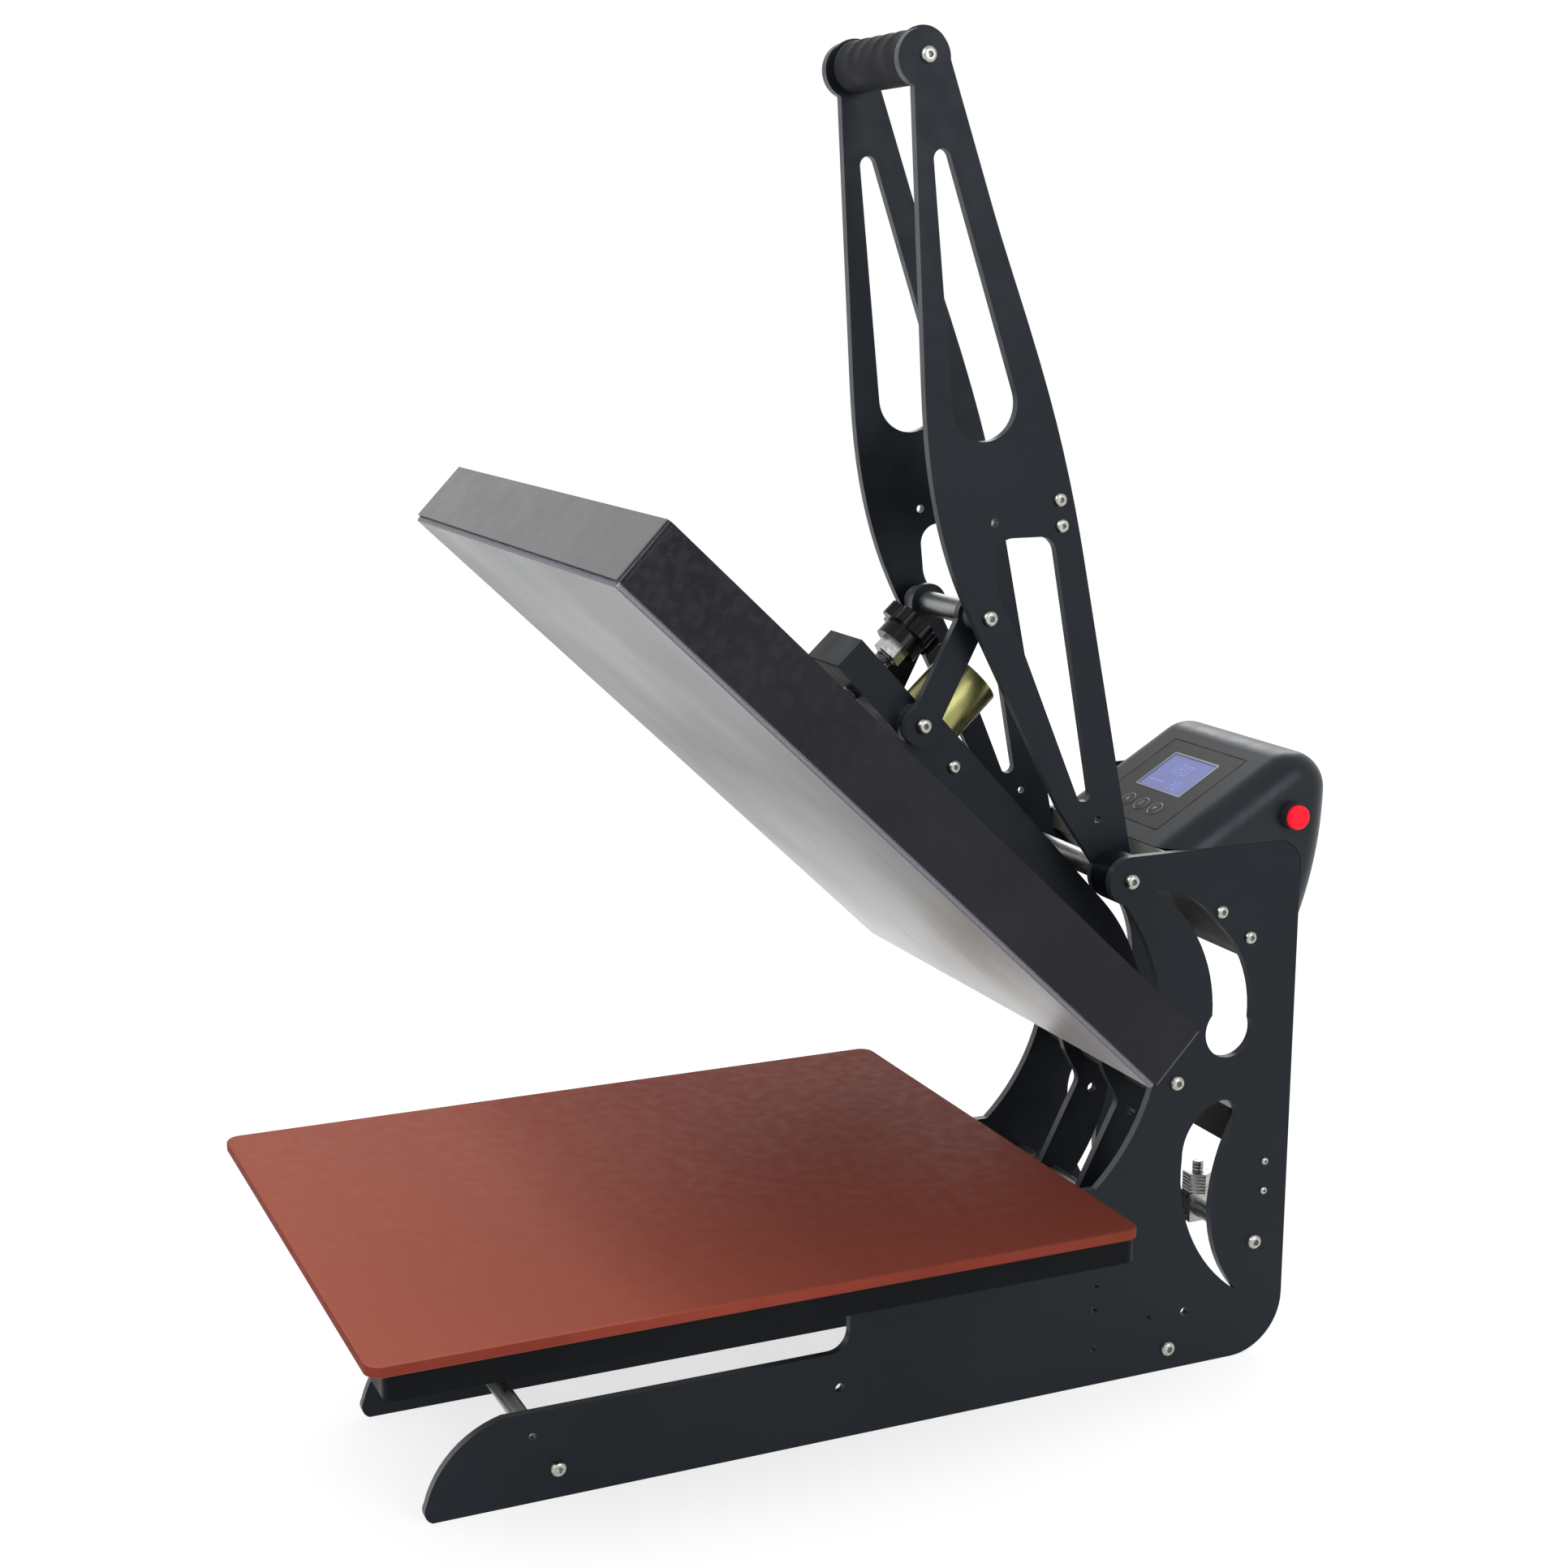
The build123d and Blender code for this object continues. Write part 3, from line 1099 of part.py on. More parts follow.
with BuildPart() as opening_springs:
    for sign in (1, -1):
        rod(spring_axis.offset(12), SPRING_RADIUS, SPRING_SPAN - 24, at=(sign * SPRING_X, 0))
        slab(spring_axis, (sign * SPRING_X - 1.5, -2), (sign * SPRING_X + 1.5, 2), SPRING_SPAN)
        for centre in (SPRING_ANCHOR, TAIL_PIN_OPEN):
            rod(side(sign * SPRING_X - 1.5), SPRING_EYE, 3, at=centre)
            rod(side(sign * SPRING_X - 1.5), TAIL_PIN_RADIUS + RUNNING_GAP, 3, mode=Mode.SUBTRACT, at=centre)
save(opening_springs.part, "opening_springs")

# Heat platen
PLATEN_CHAMFER = 0.8
with BuildPart() as heat_platen:
    with BuildSketch(platen_level(0)):
        with Locations((0, COVER_LENGTH / 2)):
            RectangleRounded(PLATEN_WIDTH, PLATEN_LENGTH, COVER_CORNER - COVER_SHEET - PLATEN_CLEAR)
    extrude(amount=PLATEN_THICKNESS)
    face_axis = Axis(platen_level(0).origin, platen_level(0).z_dir)
    chamfer(heat_platen.faces().sort_by(face_axis)[0].edges(), PLATEN_CHAMFER)
save(heat_platen.part, "heat_platen")

# Hanger on the cover: plate, ears, posts down to the platen and the stud's cup
cup_at = (0, STUD_Y - PLATEN_FRONT - 0.7)
HANGER_HALF = ARM_OUTER + 0.6
HANGER_FRONT = 219.0
HANGER_REAR = LEVEL_HINGE[0] + 20
POST_ACROSS = HANGER_HALF + 7.4
POSTS = [
    (x, along)
    for x in (-POST_ACROSS, POST_ACROSS)
    for along in (HANGER_FRONT + 76, HANGER_FRONT + 186)
]
POST_RADIUS = 6.0
POST_FIT = 0.5

# Cover over the heat platen
with BuildPart() as platen_cover:
    for sheet, mode in ((0, Mode.ADD), (COVER_SHEET, Mode.SUBTRACT)):
        with BuildSketch(platen_level(COVER_LOW)) as cover:
            with Locations((0, COVER_LENGTH / 2)):
                RectangleRounded(COVER_WIDTH - 2 * sheet, COVER_LENGTH - 2 * sheet, COVER_CORNER - sheet)
        extrude(cover.sketch, amount=COVER_TOP - COVER_LOW - sheet, mode=mode)
    rod(platen_level(COVER_TOP), CUP_RADIUS + POST_FIT, -5, mode=Mode.SUBTRACT, at=cup_at)
    for post in POSTS:
        rod(platen_level(COVER_TOP), POST_RADIUS + POST_FIT, -5, mode=Mode.SUBTRACT, at=post)
save(platen_cover.part, "platen_cover")

# Heating element: one tube folded over the platen
ELEMENT_RADIUS = 3.5
ELEMENT_BEND = 18.0
ELEMENT_SIDE = PLATEN_WIDTH / 2 - 30
ELEMENT_FRONT = 55.0
ELEMENT_REAR = COVER_LENGTH - 34
ELEMENT_MIDDLE = 60.0
with BuildPart() as heating_element:
    with BuildLine() as element_path:
        run = platen_level(PLATEN_THICKNESS + ELEMENT_RADIUS + RUNNING_GAP)
        step_out = (ELEMENT_SIDE + ELEMENT_MIDDLE) / 2
        left_half = [
            (-ELEMENT_SIDE, ELEMENT_FRONT + 10),
            (-ELEMENT_SIDE, ELEMENT_REAR),
            (-step_out, ELEMENT_REAR),
            (-step_out, ELEMENT_FRONT),
            (-ELEMENT_MIDDLE, ELEMENT_FRONT),
            (-ELEMENT_MIDDLE, ELEMENT_REAR - 10),
        ]
        corners = left_half + [(-x, y) for x, y in reversed(left_half)]
        FilletPolyline(*[run.from_local_coords(corner) for corner in corners], radius=ELEMENT_BEND)
    with BuildSketch(Plane(origin=element_path.line @ 0, z_dir=element_path.line % 0)):
        Circle(ELEMENT_RADIUS)
    sweep()
save(heating_element.part, "heating_element")

# Insulation between element and cover
INSULATION_LOW = 25.0
INSULATION_MARGIN = 12.0
with BuildPart() as insulation:
    slab(
        platen_level(INSULATION_LOW),
        (-COVER_WIDTH / 2 + INSULATION_MARGIN, INSULATION_MARGIN),
        (COVER_WIDTH / 2 - INSULATION_MARGIN, COVER_LENGTH - INSULATION_MARGIN),
        COVER_TOP - COVER_SHEET - INSULATION_LOW,
    )
    rod(platen_level(COVER_TOP), CUP_RADIUS + POST_FIT, -30, mode=Mode.SUBTRACT, at=cup_at)
    for post in POSTS:
        rod(platen_level(COVER_TOP), POST_RADIUS + POST_FIT, -30, mode=Mode.SUBTRACT, at=post)
save(insulation.part, "insulation")

with BuildPart() as platen_hanger:
    slab(
        platen_level(COVER_TOP),
        (-HANGER_HALF - HANGER_SHEET - 12, HANGER_FRONT),
        (HANGER_HALF + HANGER_SHEET + 12, HANGER_REAR),
        HANGER_SHEET,
    )
    rod(platen_level(PLATEN_THICKNESS), CUP_RADIUS, COVER_TOP + HANGER_SHEET - PLATEN_THICKNESS, at=cup_at)
    for post in POSTS:
        rod(platen_level(PLATEN_THICKNESS), POST_RADIUS, COVER_TOP - PLATEN_THICKNESS, at=post)
    rod(platen_level(COVER_TOP + HANGER_SHEET), CUP_BORE, -(COVER_TOP + HANGER_SHEET - CUP_FLOOR), mode=Mode.SUBTRACT, at=cup_at)
    for sign in (1, -1):
        with BuildSketch(platen_side(sign * HANGER_HALF)) as ear:
            with Locations((LEVEL_HINGE[0], LEVEL_HINGE[1])):
                Circle(10)
            with Locations((LEVEL_HINGE[0], (LEVEL_HINGE[1] + COVER_TOP) / 2)):
                Rectangle(30, LEVEL_HINGE[1] - COVER_TOP)
            with Locations(LEVEL_HINGE):
                Circle(HANGER_PIN_RADIUS + SCREW_FIT, mode=Mode.SUBTRACT)
        extrude(ear.sketch, amount=sign * HANGER_SHEET)
    reach = HANGER_HALF + HANGER_SHEET + 3
    rod(platen_side(-reach), HANGER_PIN_RADIUS, 2 * reach, at=LEVEL_HINGE)
save(platen_hanger.part, "platen_hanger")

# Pressure screw: stud, lock nut and lobed knob
KNOB_HUB_LOW = KNOB_NUT_LOW + KNOB_NUT_HEIGHT
KNOB_HEAD_LOW = KNOB_HUB_LOW + KNOB_HUB_HEIGHT
with BuildPart() as pressure_stud:
    rod(arm_level(STUD_FOOT), STUD_RADIUS, KNOB_HEAD_LOW - STUD_FOOT, at=(0, STUD_Y))
save(pressure_stud.part, "pressure_stud")
with BuildPart() as lock_nut:
    with BuildSketch(arm_level(KNOB_NUT_LOW)):
        with Locations((0, STUD_Y)):
            RegularPolygon(KNOB_NUT_FLATS / sqrt(3), 6)
            Circle(STUD_RADIUS + SHAFT_FIT, mode=Mode.SUBTRACT)
    extrude(amount=KNOB_NUT_HEIGHT)
save(lock_nut.part, "lock_nut")
LOBE_RADIUS = 6.2
with BuildPart() as pressure_knob:
    rod(arm_level(KNOB_HUB_LOW), KNOB_HUB_RADIUS, KNOB_HUB_HEIGHT, at=(0, STUD_Y))
    with BuildSketch(arm_level(KNOB_HEAD_LOW)) as head:
        with Locations((0, STUD_Y)):
            Circle(KNOB_HEAD_RADIUS - 3.5)
            with PolarLocations(KNOB_HEAD_RADIUS - LOBE_RADIUS, KNOB_LOBES):
                Circle(LOBE_RADIUS)
    extrude(head.sketch, amount=KNOB_HEAD_HEIGHT)
    rod(arm_level(KNOB_HUB_LOW), STUD_RADIUS + SHAFT_FIT, KNOB_HUB_HEIGHT, mode=Mode.SUBTRACT, at=(0, STUD_Y))
save(pressure_knob.part, "pressure_knob")

print("link pin", LINK_PIN, "crank pin", CRANK_PIN)
print("handle travel", HANDLE_TRAVEL, "link turn", LINK_TURN)
print("tail pin open", TAIL_PIN_OPEN, "hinge closed", HINGE_CLOSED)
print("stud axis, hinge open", swing(HINGE_CLOSED, ARM_PIVOT, -ARM_TRAVEL))
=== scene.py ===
from math import cos, pi, radians, sin

import bmesh
import bpy
from mathutils import Matrix, Vector


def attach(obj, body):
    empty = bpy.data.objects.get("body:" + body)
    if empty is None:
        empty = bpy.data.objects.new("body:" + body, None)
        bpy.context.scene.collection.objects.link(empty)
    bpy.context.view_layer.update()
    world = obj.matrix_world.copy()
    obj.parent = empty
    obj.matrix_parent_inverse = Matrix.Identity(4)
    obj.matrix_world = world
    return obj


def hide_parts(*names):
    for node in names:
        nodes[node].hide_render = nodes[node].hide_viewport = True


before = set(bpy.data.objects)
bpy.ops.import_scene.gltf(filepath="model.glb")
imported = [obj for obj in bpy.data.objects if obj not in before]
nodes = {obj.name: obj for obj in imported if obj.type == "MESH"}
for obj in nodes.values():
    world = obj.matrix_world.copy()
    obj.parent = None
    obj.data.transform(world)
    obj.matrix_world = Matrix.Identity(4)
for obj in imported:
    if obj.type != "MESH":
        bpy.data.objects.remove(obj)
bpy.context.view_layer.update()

# Side-view points are (y, z) in millimetres, with y measured back from the pad's front edge
DATUM = 361.0
ARM_PIVOT = (600.8, 212.8)
ARM_TRAVEL = 47.116
HINGE_CLOSED = (430.55, 231.0)
LEVEL_TRAVEL = 3.616
HANDLE_PIVOT = (559.4, 360.4)
GRIP_CENTRE = (HANDLE_PIVOT[0] - 148.1, HANDLE_PIVOT[1] + 530.1)
PLATEN_FRONT = 9.2
PLATEN_LENGTH = 485.0
PLATEN_BOTTOM = 169.0
BOX_FRONT = 588.5
BOX_SEAT = HANDLE_PIVOT[1] + 17.3
BOX_SLOPE = radians(30.5)
PAD_SIZE = (400.0, 500.0)
SIDES = ("right", "left")
PLATES = ("side_plate", "handle_plate", "arm_plate", "link")


def place(x, y, z):
    """A point in metres from millimetres across, back from the pad's front edge, and up."""
    return Vector((x / 1000, (y - DATUM) / 1000, z / 1000))


def about(pivot, degrees):
    """The turn about the cross axis through a side-view point."""
    centre = place(0, *pivot)
    turned = Matrix.Rotation(radians(degrees), 4, "X")
    return Matrix.Translation(centre) @ turned @ Matrix.Translation(-centre)


ARM_OPEN = about(ARM_PIVOT, -ARM_TRAVEL)
PLATEN_OPEN = ARM_OPEN @ about(HINGE_CLOSED, LEVEL_TRAVEL)
ARM_UP = ARM_OPEN.to_3x3() @ Vector((0, 0, 1))


def platen_point(x, t, h):
    """A point of the heat platen: across, back from its front edge, and above its face."""
    return PLATEN_OPEN @ place(x, PLATEN_FRONT + t, PLATEN_BOTTOM + h)


def panel_point(x, along, out):
    """A point over the control box's sloping face: across, up the slope, and out of the face."""
    y = BOX_FRONT + along * cos(BOX_SLOPE) - out * sin(BOX_SLOPE)
    z = BOX_SEAT + along * sin(BOX_SLOPE) + out * cos(BOX_SLOPE)
    return place(x, y, z)


# Materials
def surface(name, color, rough, metallic=0.0, **extra):
    """A principled material, with its nodes ready for the functions below."""
    made = bpy.data.materials.new(name)
    made.use_nodes = True
    shader = made.node_tree.nodes["Principled BSDF"]
    shader.inputs["Base Color"].default_value = (*color, 1)
    shader.inputs["Roughness"].default_value = rough
    shader.inputs["Metallic"].default_value = metallic
    for key, value in extra.items():
        shader.inputs[key.replace("_", " ")].default_value = value
    made.diffuse_color = (*color, 1)
    return made


def coordinates(made, scale=(1, 1, 1), turn=(0, 0, 0)):
    """Object coordinates, stretched and turned."""
    tree = made.node_tree
    source = tree.nodes.new("ShaderNodeTexCoord")
    mapping = tree.nodes.new("ShaderNodeMapping")
    mapping.inputs["Scale"].default_value = scale
    mapping.inputs["Rotation"].default_value = turn
    tree.links.new(source.outputs["Object"], mapping.inputs["Vector"])
    return mapping.outputs["Vector"]


def noise(made, scale, detail=3.0, stretch=(1, 1, 1)):
    """Noise over the surface, its scale in features per metre."""
    tree = made.node_tree
    texture = tree.nodes.new("ShaderNodeTexNoise")
    texture.inputs["Scale"].default_value = scale
    texture.inputs["Detail"].default_value = detail
    tree.links.new(coordinates(made, stretch), texture.inputs["Vector"])
    return texture.outputs["Fac"]


def spread(made, value, low, high, start=0.35, end=0.65):
    """The value between start and end, brought to a range from low to high."""
    tree = made.node_tree
    ranged = tree.nodes.new("ShaderNodeMapRange")
    ranged.inputs["From Min"].default_value = start
    ranged.inputs["From Max"].default_value = end
    ranged.inputs["To Min"].default_value = low
    ranged.inputs["To Max"].default_value = high
    tree.links.new(value, ranged.inputs["Value"])
    return ranged.outputs["Result"]


def tint(made, value, dark, light, start=0.35, end=0.65):
    """Colour that runs from dark to light with the value."""
    tree = made.node_tree
    ramp = tree.nodes.new("ShaderNodeValToRGB")
    ramp.color_ramp.elements[0].position = start
    ramp.color_ramp.elements[0].color = (*dark, 1)
    ramp.color_ramp.elements[1].position = end
    ramp.color_ramp.elements[1].color = (*light, 1)
    tree.links.new(value, ramp.inputs["Fac"])
    tree.links.new(ramp.outputs["Color"], tree.nodes["Principled BSDF"].inputs["Base Color"])
    return ramp.outputs["Color"]


def fade_along(made, stops, start, end):
    """Colour that runs through stops of (position, colour) from one Y to another, both in metres."""
    tree = made.node_tree
    split = tree.nodes.new("ShaderNodeSeparateXYZ")
    tree.links.new(coordinates(made), split.inputs["Vector"])
    ramp = tree.nodes.new("ShaderNodeValToRGB")
    for position, _ in stops[2:]:
        ramp.color_ramp.elements.new(position)
    for element, (position, color) in zip(ramp.color_ramp.elements, stops):
        element.position = position
        element.color = (*color, 1)
    tree.links.new(spread(made, split.outputs["Y"], 0, 1, start, end), ramp.inputs["Fac"])
    return ramp.outputs["Color"]


def multiplied(made, color, value, floor, factor):
    """Base colour multiplied by a grey that runs from floor to white with the value."""
    tree = made.node_tree
    grey = tree.nodes.new("ShaderNodeValToRGB")
    grey.color_ramp.elements[0].color = (floor, floor, floor, 1)
    grey.color_ramp.elements[0].position = 0.3
    grey.color_ramp.elements[1].position = 0.7
    tree.links.new(value, grey.inputs["Fac"])
    mixed = tree.nodes.new("ShaderNodeMix")
    mixed.data_type = "RGBA"
    mixed.blend_type = "MULTIPLY"
    mixed.inputs["Factor"].default_value = factor
    tree.links.new(color, mixed.inputs["A"])
    tree.links.new(grey.outputs["Color"], mixed.inputs["B"])
    tree.links.new(mixed.outputs["Result"], tree.nodes["Principled BSDF"].inputs["Base Color"])


def shine(made, value, low, high, start=0.35, end=0.65):
    """Roughness that runs from low to high with the value."""
    target = made.node_tree.nodes["Principled BSDF"].inputs["Roughness"]
    made.node_tree.links.new(spread(made, value, low, high, start, end), target)


def bumps(made, *layers):
    """Bump layers, each a value with its strength and its height in metres."""
    tree = made.node_tree
    before = None
    for value, strength, height in layers:
        bump = tree.nodes.new("ShaderNodeBump")
        bump.inputs["Strength"].default_value = strength
        bump.inputs["Distance"].default_value = height
        tree.links.new(value, bump.inputs["Height"])
        if before is not None:
            tree.links.new(before, bump.inputs["Normal"])
        before = bump.outputs["Normal"]
    tree.links.new(before, tree.nodes["Principled BSDF"].inputs["Normal"])


def glow(made, color, strength):
    """Light given off evenly by the whole surface."""
    shader = made.node_tree.nodes["Principled BSDF"]
    shader.inputs["Emission Color"].default_value = (*color, 1)
    shader.inputs["Emission Strength"].default_value = strength


def powder(name, dark, light, rough=(0.36, 0.48), grain=1500, depth=0.00006, gloss=0.22, **extra):
    """Powder coat: fine orange peel, faint clouding and scuffs."""
    made = surface(name, light, rough[1], Specular_IOR_Level=gloss, **extra)
    tint(made, noise(made, 9, 5), dark, light, 0.3, 0.7)
    shine(made, noise(made, 60, 4), *rough)
    bumps(made, (noise(made, grain, 2), 0.25, depth), (noise(made, 260, 2), 0.08, 0.0001))
    return made


def metal(name, dark, light, rough=(0.2, 0.35), stretch=(1, 1, 1), scale=220):
    """Bare or plated metal, with streaks along the direction that is stretched least."""
    made = surface(name, light, rough[0], 1.0)
    streak = noise(made, scale, 4, stretch)
    tint(made, streak, dark, light, 0.3, 0.7)
    shine(made, streak, *rough)
    bumps(made, (streak, 0.12, 0.00005))
    return made


COOL = (0.82, 0.92, 1.0, 1)
plate_black = powder(
    "plate_powder_black", (0.0034, 0.0044, 0.0066), (0.0058, 0.0070, 0.0098), (0.34, 0.46),
    gloss=0.20, Specular_Tint=COOL,
)
# The plates' cut edges: a lighter grey than their faces, a painted highlight where the edges catch the light
plate_rim_highlight = powder("plate_rim_painted_highlight", (0.026, 0.029, 0.034), (0.052, 0.057, 0.064), (0.32, 0.44), gloss=0.45)
# Bright metal on the arm plates' rounded ends round the link pin: a painted highlight
link_end_highlight = metal("link_end_highlight", (0.34, 0.34, 0.36), (0.56, 0.56, 0.60), (0.24, 0.36))
# The pan and bed rails: their own black powder coat, made darker than the plates' black as painted shade
# where they sit low
shaded_pan = powder("pan_powder_painted_shade", (0.0018, 0.0022, 0.0030), (0.0034, 0.0040, 0.0052), gloss=0.07)
steel = metal("turned_steel", (0.28, 0.295, 0.285), (0.46, 0.475, 0.46), (0.34, 0.46), (1, 12, 12))
bright = metal("bright_screw_steel", (0.30, 0.30, 0.28), (0.50, 0.50, 0.46), (0.22, 0.36), scale=500)
zinc = metal("plated_nut", (0.34, 0.34, 0.34), (0.52, 0.52, 0.51), (0.24, 0.36), scale=350)
spring_wire = metal("spring_wire", (0.18, 0.18, 0.19), (0.38, 0.38, 0.39), (0.3, 0.45))
element_tube = metal("oxidised_tube", (0.10, 0.09, 0.08), (0.26, 0.24, 0.22), (0.35, 0.5))
spacer = powder("spacer_grey", (0.055, 0.058, 0.065), (0.10, 0.105, 0.115), (0.35, 0.5))
tray_green = powder("tray_grey_green", (0.150, 0.158, 0.140), (0.215, 0.225, 0.200), (0.3, 0.45))
# The tray's downward faces: near black, painted shade for the shadow under the tray
tray_shade = powder("tray_painted_shade", (0.006, 0.007, 0.007), (0.012, 0.013, 0.013), (0.5, 0.6), gloss=0.08)
relay_black = powder("relay_plastic", (0.008, 0.008, 0.009), (0.014, 0.014, 0.015), (0.3, 0.4))
board = powder("circuit_board", (0.004, 0.050, 0.018), (0.010, 0.090, 0.035), (0.3, 0.45), 900)
wool = powder("insulation_felt", (0.62, 0.60, 0.55), (0.80, 0.78, 0.74), (0.85, 0.95), 1100, 0.0006)
potting = powder("potted_core", (0.020, 0.014, 0.011), (0.045, 0.032, 0.024), (0.35, 0.5))
box_plastic = powder(
    "box_plastic", (0.0040, 0.0050, 0.0070), (0.0064, 0.0076, 0.0102), (0.31, 0.39), 2200, 0.00003, 0.28,
    Specular_Tint=COOL
)
panel_plastic = powder(
    "panel_plastic", (0.009, 0.009, 0.010), (0.015, 0.015, 0.017), (0.34, 0.44), 2200, 0.00003,
)
key_plastic = powder("key_plastic", (0.012, 0.012, 0.014), (0.022, 0.022, 0.024), (0.35, 0.45), 2200, 0.00002)
knob_plastic = powder(
    "knob_plastic", (0.0028, 0.0028, 0.0036), (0.0052, 0.0052, 0.0064), (0.10, 0.16), 1300, 0.00002, 0.14,
)

# Cover: thick gloss paint over rough sheet, with crinkles and runs
cover_black = surface(
    "cover_gloss_black", (0.006, 0.006, 0.008), 0.16,
    Specular_IOR_Level=0.24, Specular_Tint=(0.90, 0.92, 1.0, 1),
)
tint(cover_black, noise(cover_black, 14, 5), (0.0028, 0.0028, 0.0042), (0.0062, 0.0060, 0.0088))
shine(cover_black, noise(cover_black, 160, 5), 0.10, 0.34, 0.4, 0.62)
bumps(
    cover_black,
    (noise(cover_black, 520, 4), 0.40, 0.00020),
    (noise(cover_black, 48, 4), 0.35, 0.0011),
)
# The cover's front end: a mid grey over the gloss black, a painted reflection
cover_reflection = powder(
    "cover_face_painted_reflection", (0.052, 0.052, 0.057), (0.070, 0.070, 0.075), (0.26, 0.32), 900, 0.00003, gloss=0.5
)

# Heat platen: a milled face whose gloss varies in faint clouds; its colour, darker in the middle and palest
# at the rear, is painted light and reflection, and its lavender grey edge is a painted reflection
platen_face = surface("platen_milled_face", (0.30, 0.33, 0.31), 0.36, 0.35, Specular_IOR_Level=0.3)
streaks = noise(platen_face, 26, 6, (9, 1, 1))
# Stops of the painted light and reflection, front to rear of the platen
PLATEN_PAINTED_LIGHT = (
    (0.0, (0.170, 0.186, 0.182)),
    (0.45, (0.118, 0.130, 0.128)),
    (0.72, (0.300, 0.325, 0.320)),
    (1.0, (0.700, 0.730, 0.720)),
)
platen_painted_light = fade_along(
    platen_face, PLATEN_PAINTED_LIGHT, platen_point(0, 0, 0).y, platen_point(0, PLATEN_LENGTH, 0).y,
)
multiplied(platen_face, platen_painted_light, streaks, 0.80, 1.0)
shine(platen_face, noise(platen_face, 5, 3), 0.30, 0.40)
bumps(platen_face, (noise(platen_face, 300, 3, (14, 1, 1)), 0.04, 0.00003))
# The platen's side edges: lavender grey metal, a painted reflection
platen_side_reflection = metal("platen_side_reflection", (0.10, 0.10, 0.12), (0.24, 0.235, 0.27), (0.35, 0.5), (1, 6, 6))

# Silicone sponge: matt red-brown with fine cells, darkening towards the rear as the painted shadow of the
# raised platen
silicone = surface("silicone_sponge", (0.33, 0.075, 0.042), 0.62, Specular_IOR_Level=0.07)
PAD_PAINTED_SHADOW = (
    (0.0, (0.262, 0.071, 0.046)),
    (0.30, (0.236, 0.061, 0.039)),
    (0.42, (0.180, 0.040, 0.024)),
    (0.62, (0.134, 0.027, 0.016)),
    (1.0, (0.110, 0.022, 0.013)),
)
pad_painted_shadow = fade_along(silicone, PAD_PAINTED_SHADOW, -DATUM / 1000, (PAD_SIZE[1] - DATUM) / 1000)
multiplied(silicone, pad_painted_shadow, noise(silicone, 500, 4, (1, 3, 1)), 0.78, 0.22)
shine(silicone, noise(silicone, 90, 3), 0.60, 0.72)
bumps(silicone, (noise(silicone, 2400, 3), 0.25, 0.00006), (noise(silicone, 9, 2), 0.05, 0.0004))
# The pad's cut sides: a deeper red of the cut sponge, darkened further as painted shade
silicone_side_shade = powder(
    "silicone_side_painted_shade", (0.135, 0.021, 0.012), (0.185, 0.031, 0.018), (0.6, 0.75), 1800, 0.0001, 0.1,
)

foam = powder(
    "grip_foam", (0.0046, 0.0054, 0.0072), (0.0088, 0.0100, 0.0126), (0.62, 0.8), 1600, 0.00022, 0.22,
)

# Yellow chromate with a drift to green
gold = surface("gold_chromate", (0.62, 0.50, 0.22), 0.22, 1.0)
tint(gold, noise(gold, 22, 3), (0.21, 0.22, 0.082), (0.47, 0.41, 0.185), 0.3, 0.7)
shine(gold, noise(gold, 60, 3), 0.24, 0.34)
bumps(gold, (noise(gold, 160, 2), 0.04, 0.00003))

lcd = surface("lcd_backlit_blue", (0.065, 0.080, 0.24), 0.14, Coat_Weight=0.3)
glow(lcd, (0.10, 0.12, 0.30), 0.5)
bumps(lcd, (noise(lcd, 900, 2), 0.02, 0.00001))
lcd_mark = surface("lcd_mark", (0.13, 0.155, 0.36), 0.3)
glow(lcd_mark, (0.135, 0.16, 0.36), 0.7)
bumps(lcd_mark, (noise(lcd_mark, 900, 2), 0.02, 0.00001))
pale = powder("display_frame", (0.19, 0.20, 0.23), (0.29, 0.30, 0.34), (0.3, 0.4), 1800, 0.00002)
icon = powder("key_icon_grey", (0.20, 0.20, 0.21), (0.32, 0.32, 0.33), (0.3, 0.4), 1800, 0.00002)
# The red button's cap glows though no lamp is in it: a painted light
red = surface("red_button_painted_glow", (0.70, 0.004, 0.012), 0.34, Specular_IOR_Level=0.12)
tint(red, noise(red, 120, 2), (0.62, 0.003, 0.010), (0.74, 0.006, 0.016))
glow(red, (1.0, 0.004, 0.016), 0.85)
bumps(red, (noise(red, 500, 2), 0.05, 0.00002))
# Near black for the panel's seam: painted shade in the gap
seam_painted_shade = powder("seam_painted_shade", (0.001, 0.001, 0.001), (0.003, 0.003, 0.003), (0.6, 0.8))


RIDGES_PER_SCALE = 0.157


def thread(made, axis, pitch):
    """Rolled thread as fine ridges across an axis in the side view, its pitch in metres."""
    tree = made.node_tree
    wave = tree.nodes.new("ShaderNodeTexWave")
    wave.bands_direction = "Z"
    wave.wave_profile = "TRI"
    wave.inputs["Scale"].default_value = RIDGES_PER_SCALE / pitch
    angle = Vector((0, axis[1], axis[2])).angle(Vector((0, 0, 1)))
    tree.links.new(coordinates(made, turn=(angle if axis[1] > 0 else -angle, 0, 0)), wave.inputs["Vector"])
    bumps(made, (wave.outputs["Fac"], 1.0, 0.0009))
    return made


stud_thread = thread(
    metal("stud_thread", (0.42, 0.42, 0.43), (0.66, 0.66, 0.66), (0.2, 0.32)), ARM_UP, 0.00175,
)
bolt_thread = thread(
    metal("bolt_thread", (0.40, 0.40, 0.41), (0.62, 0.62, 0.62), (0.22, 0.34)), (0, 0, 1), 0.00125,
)

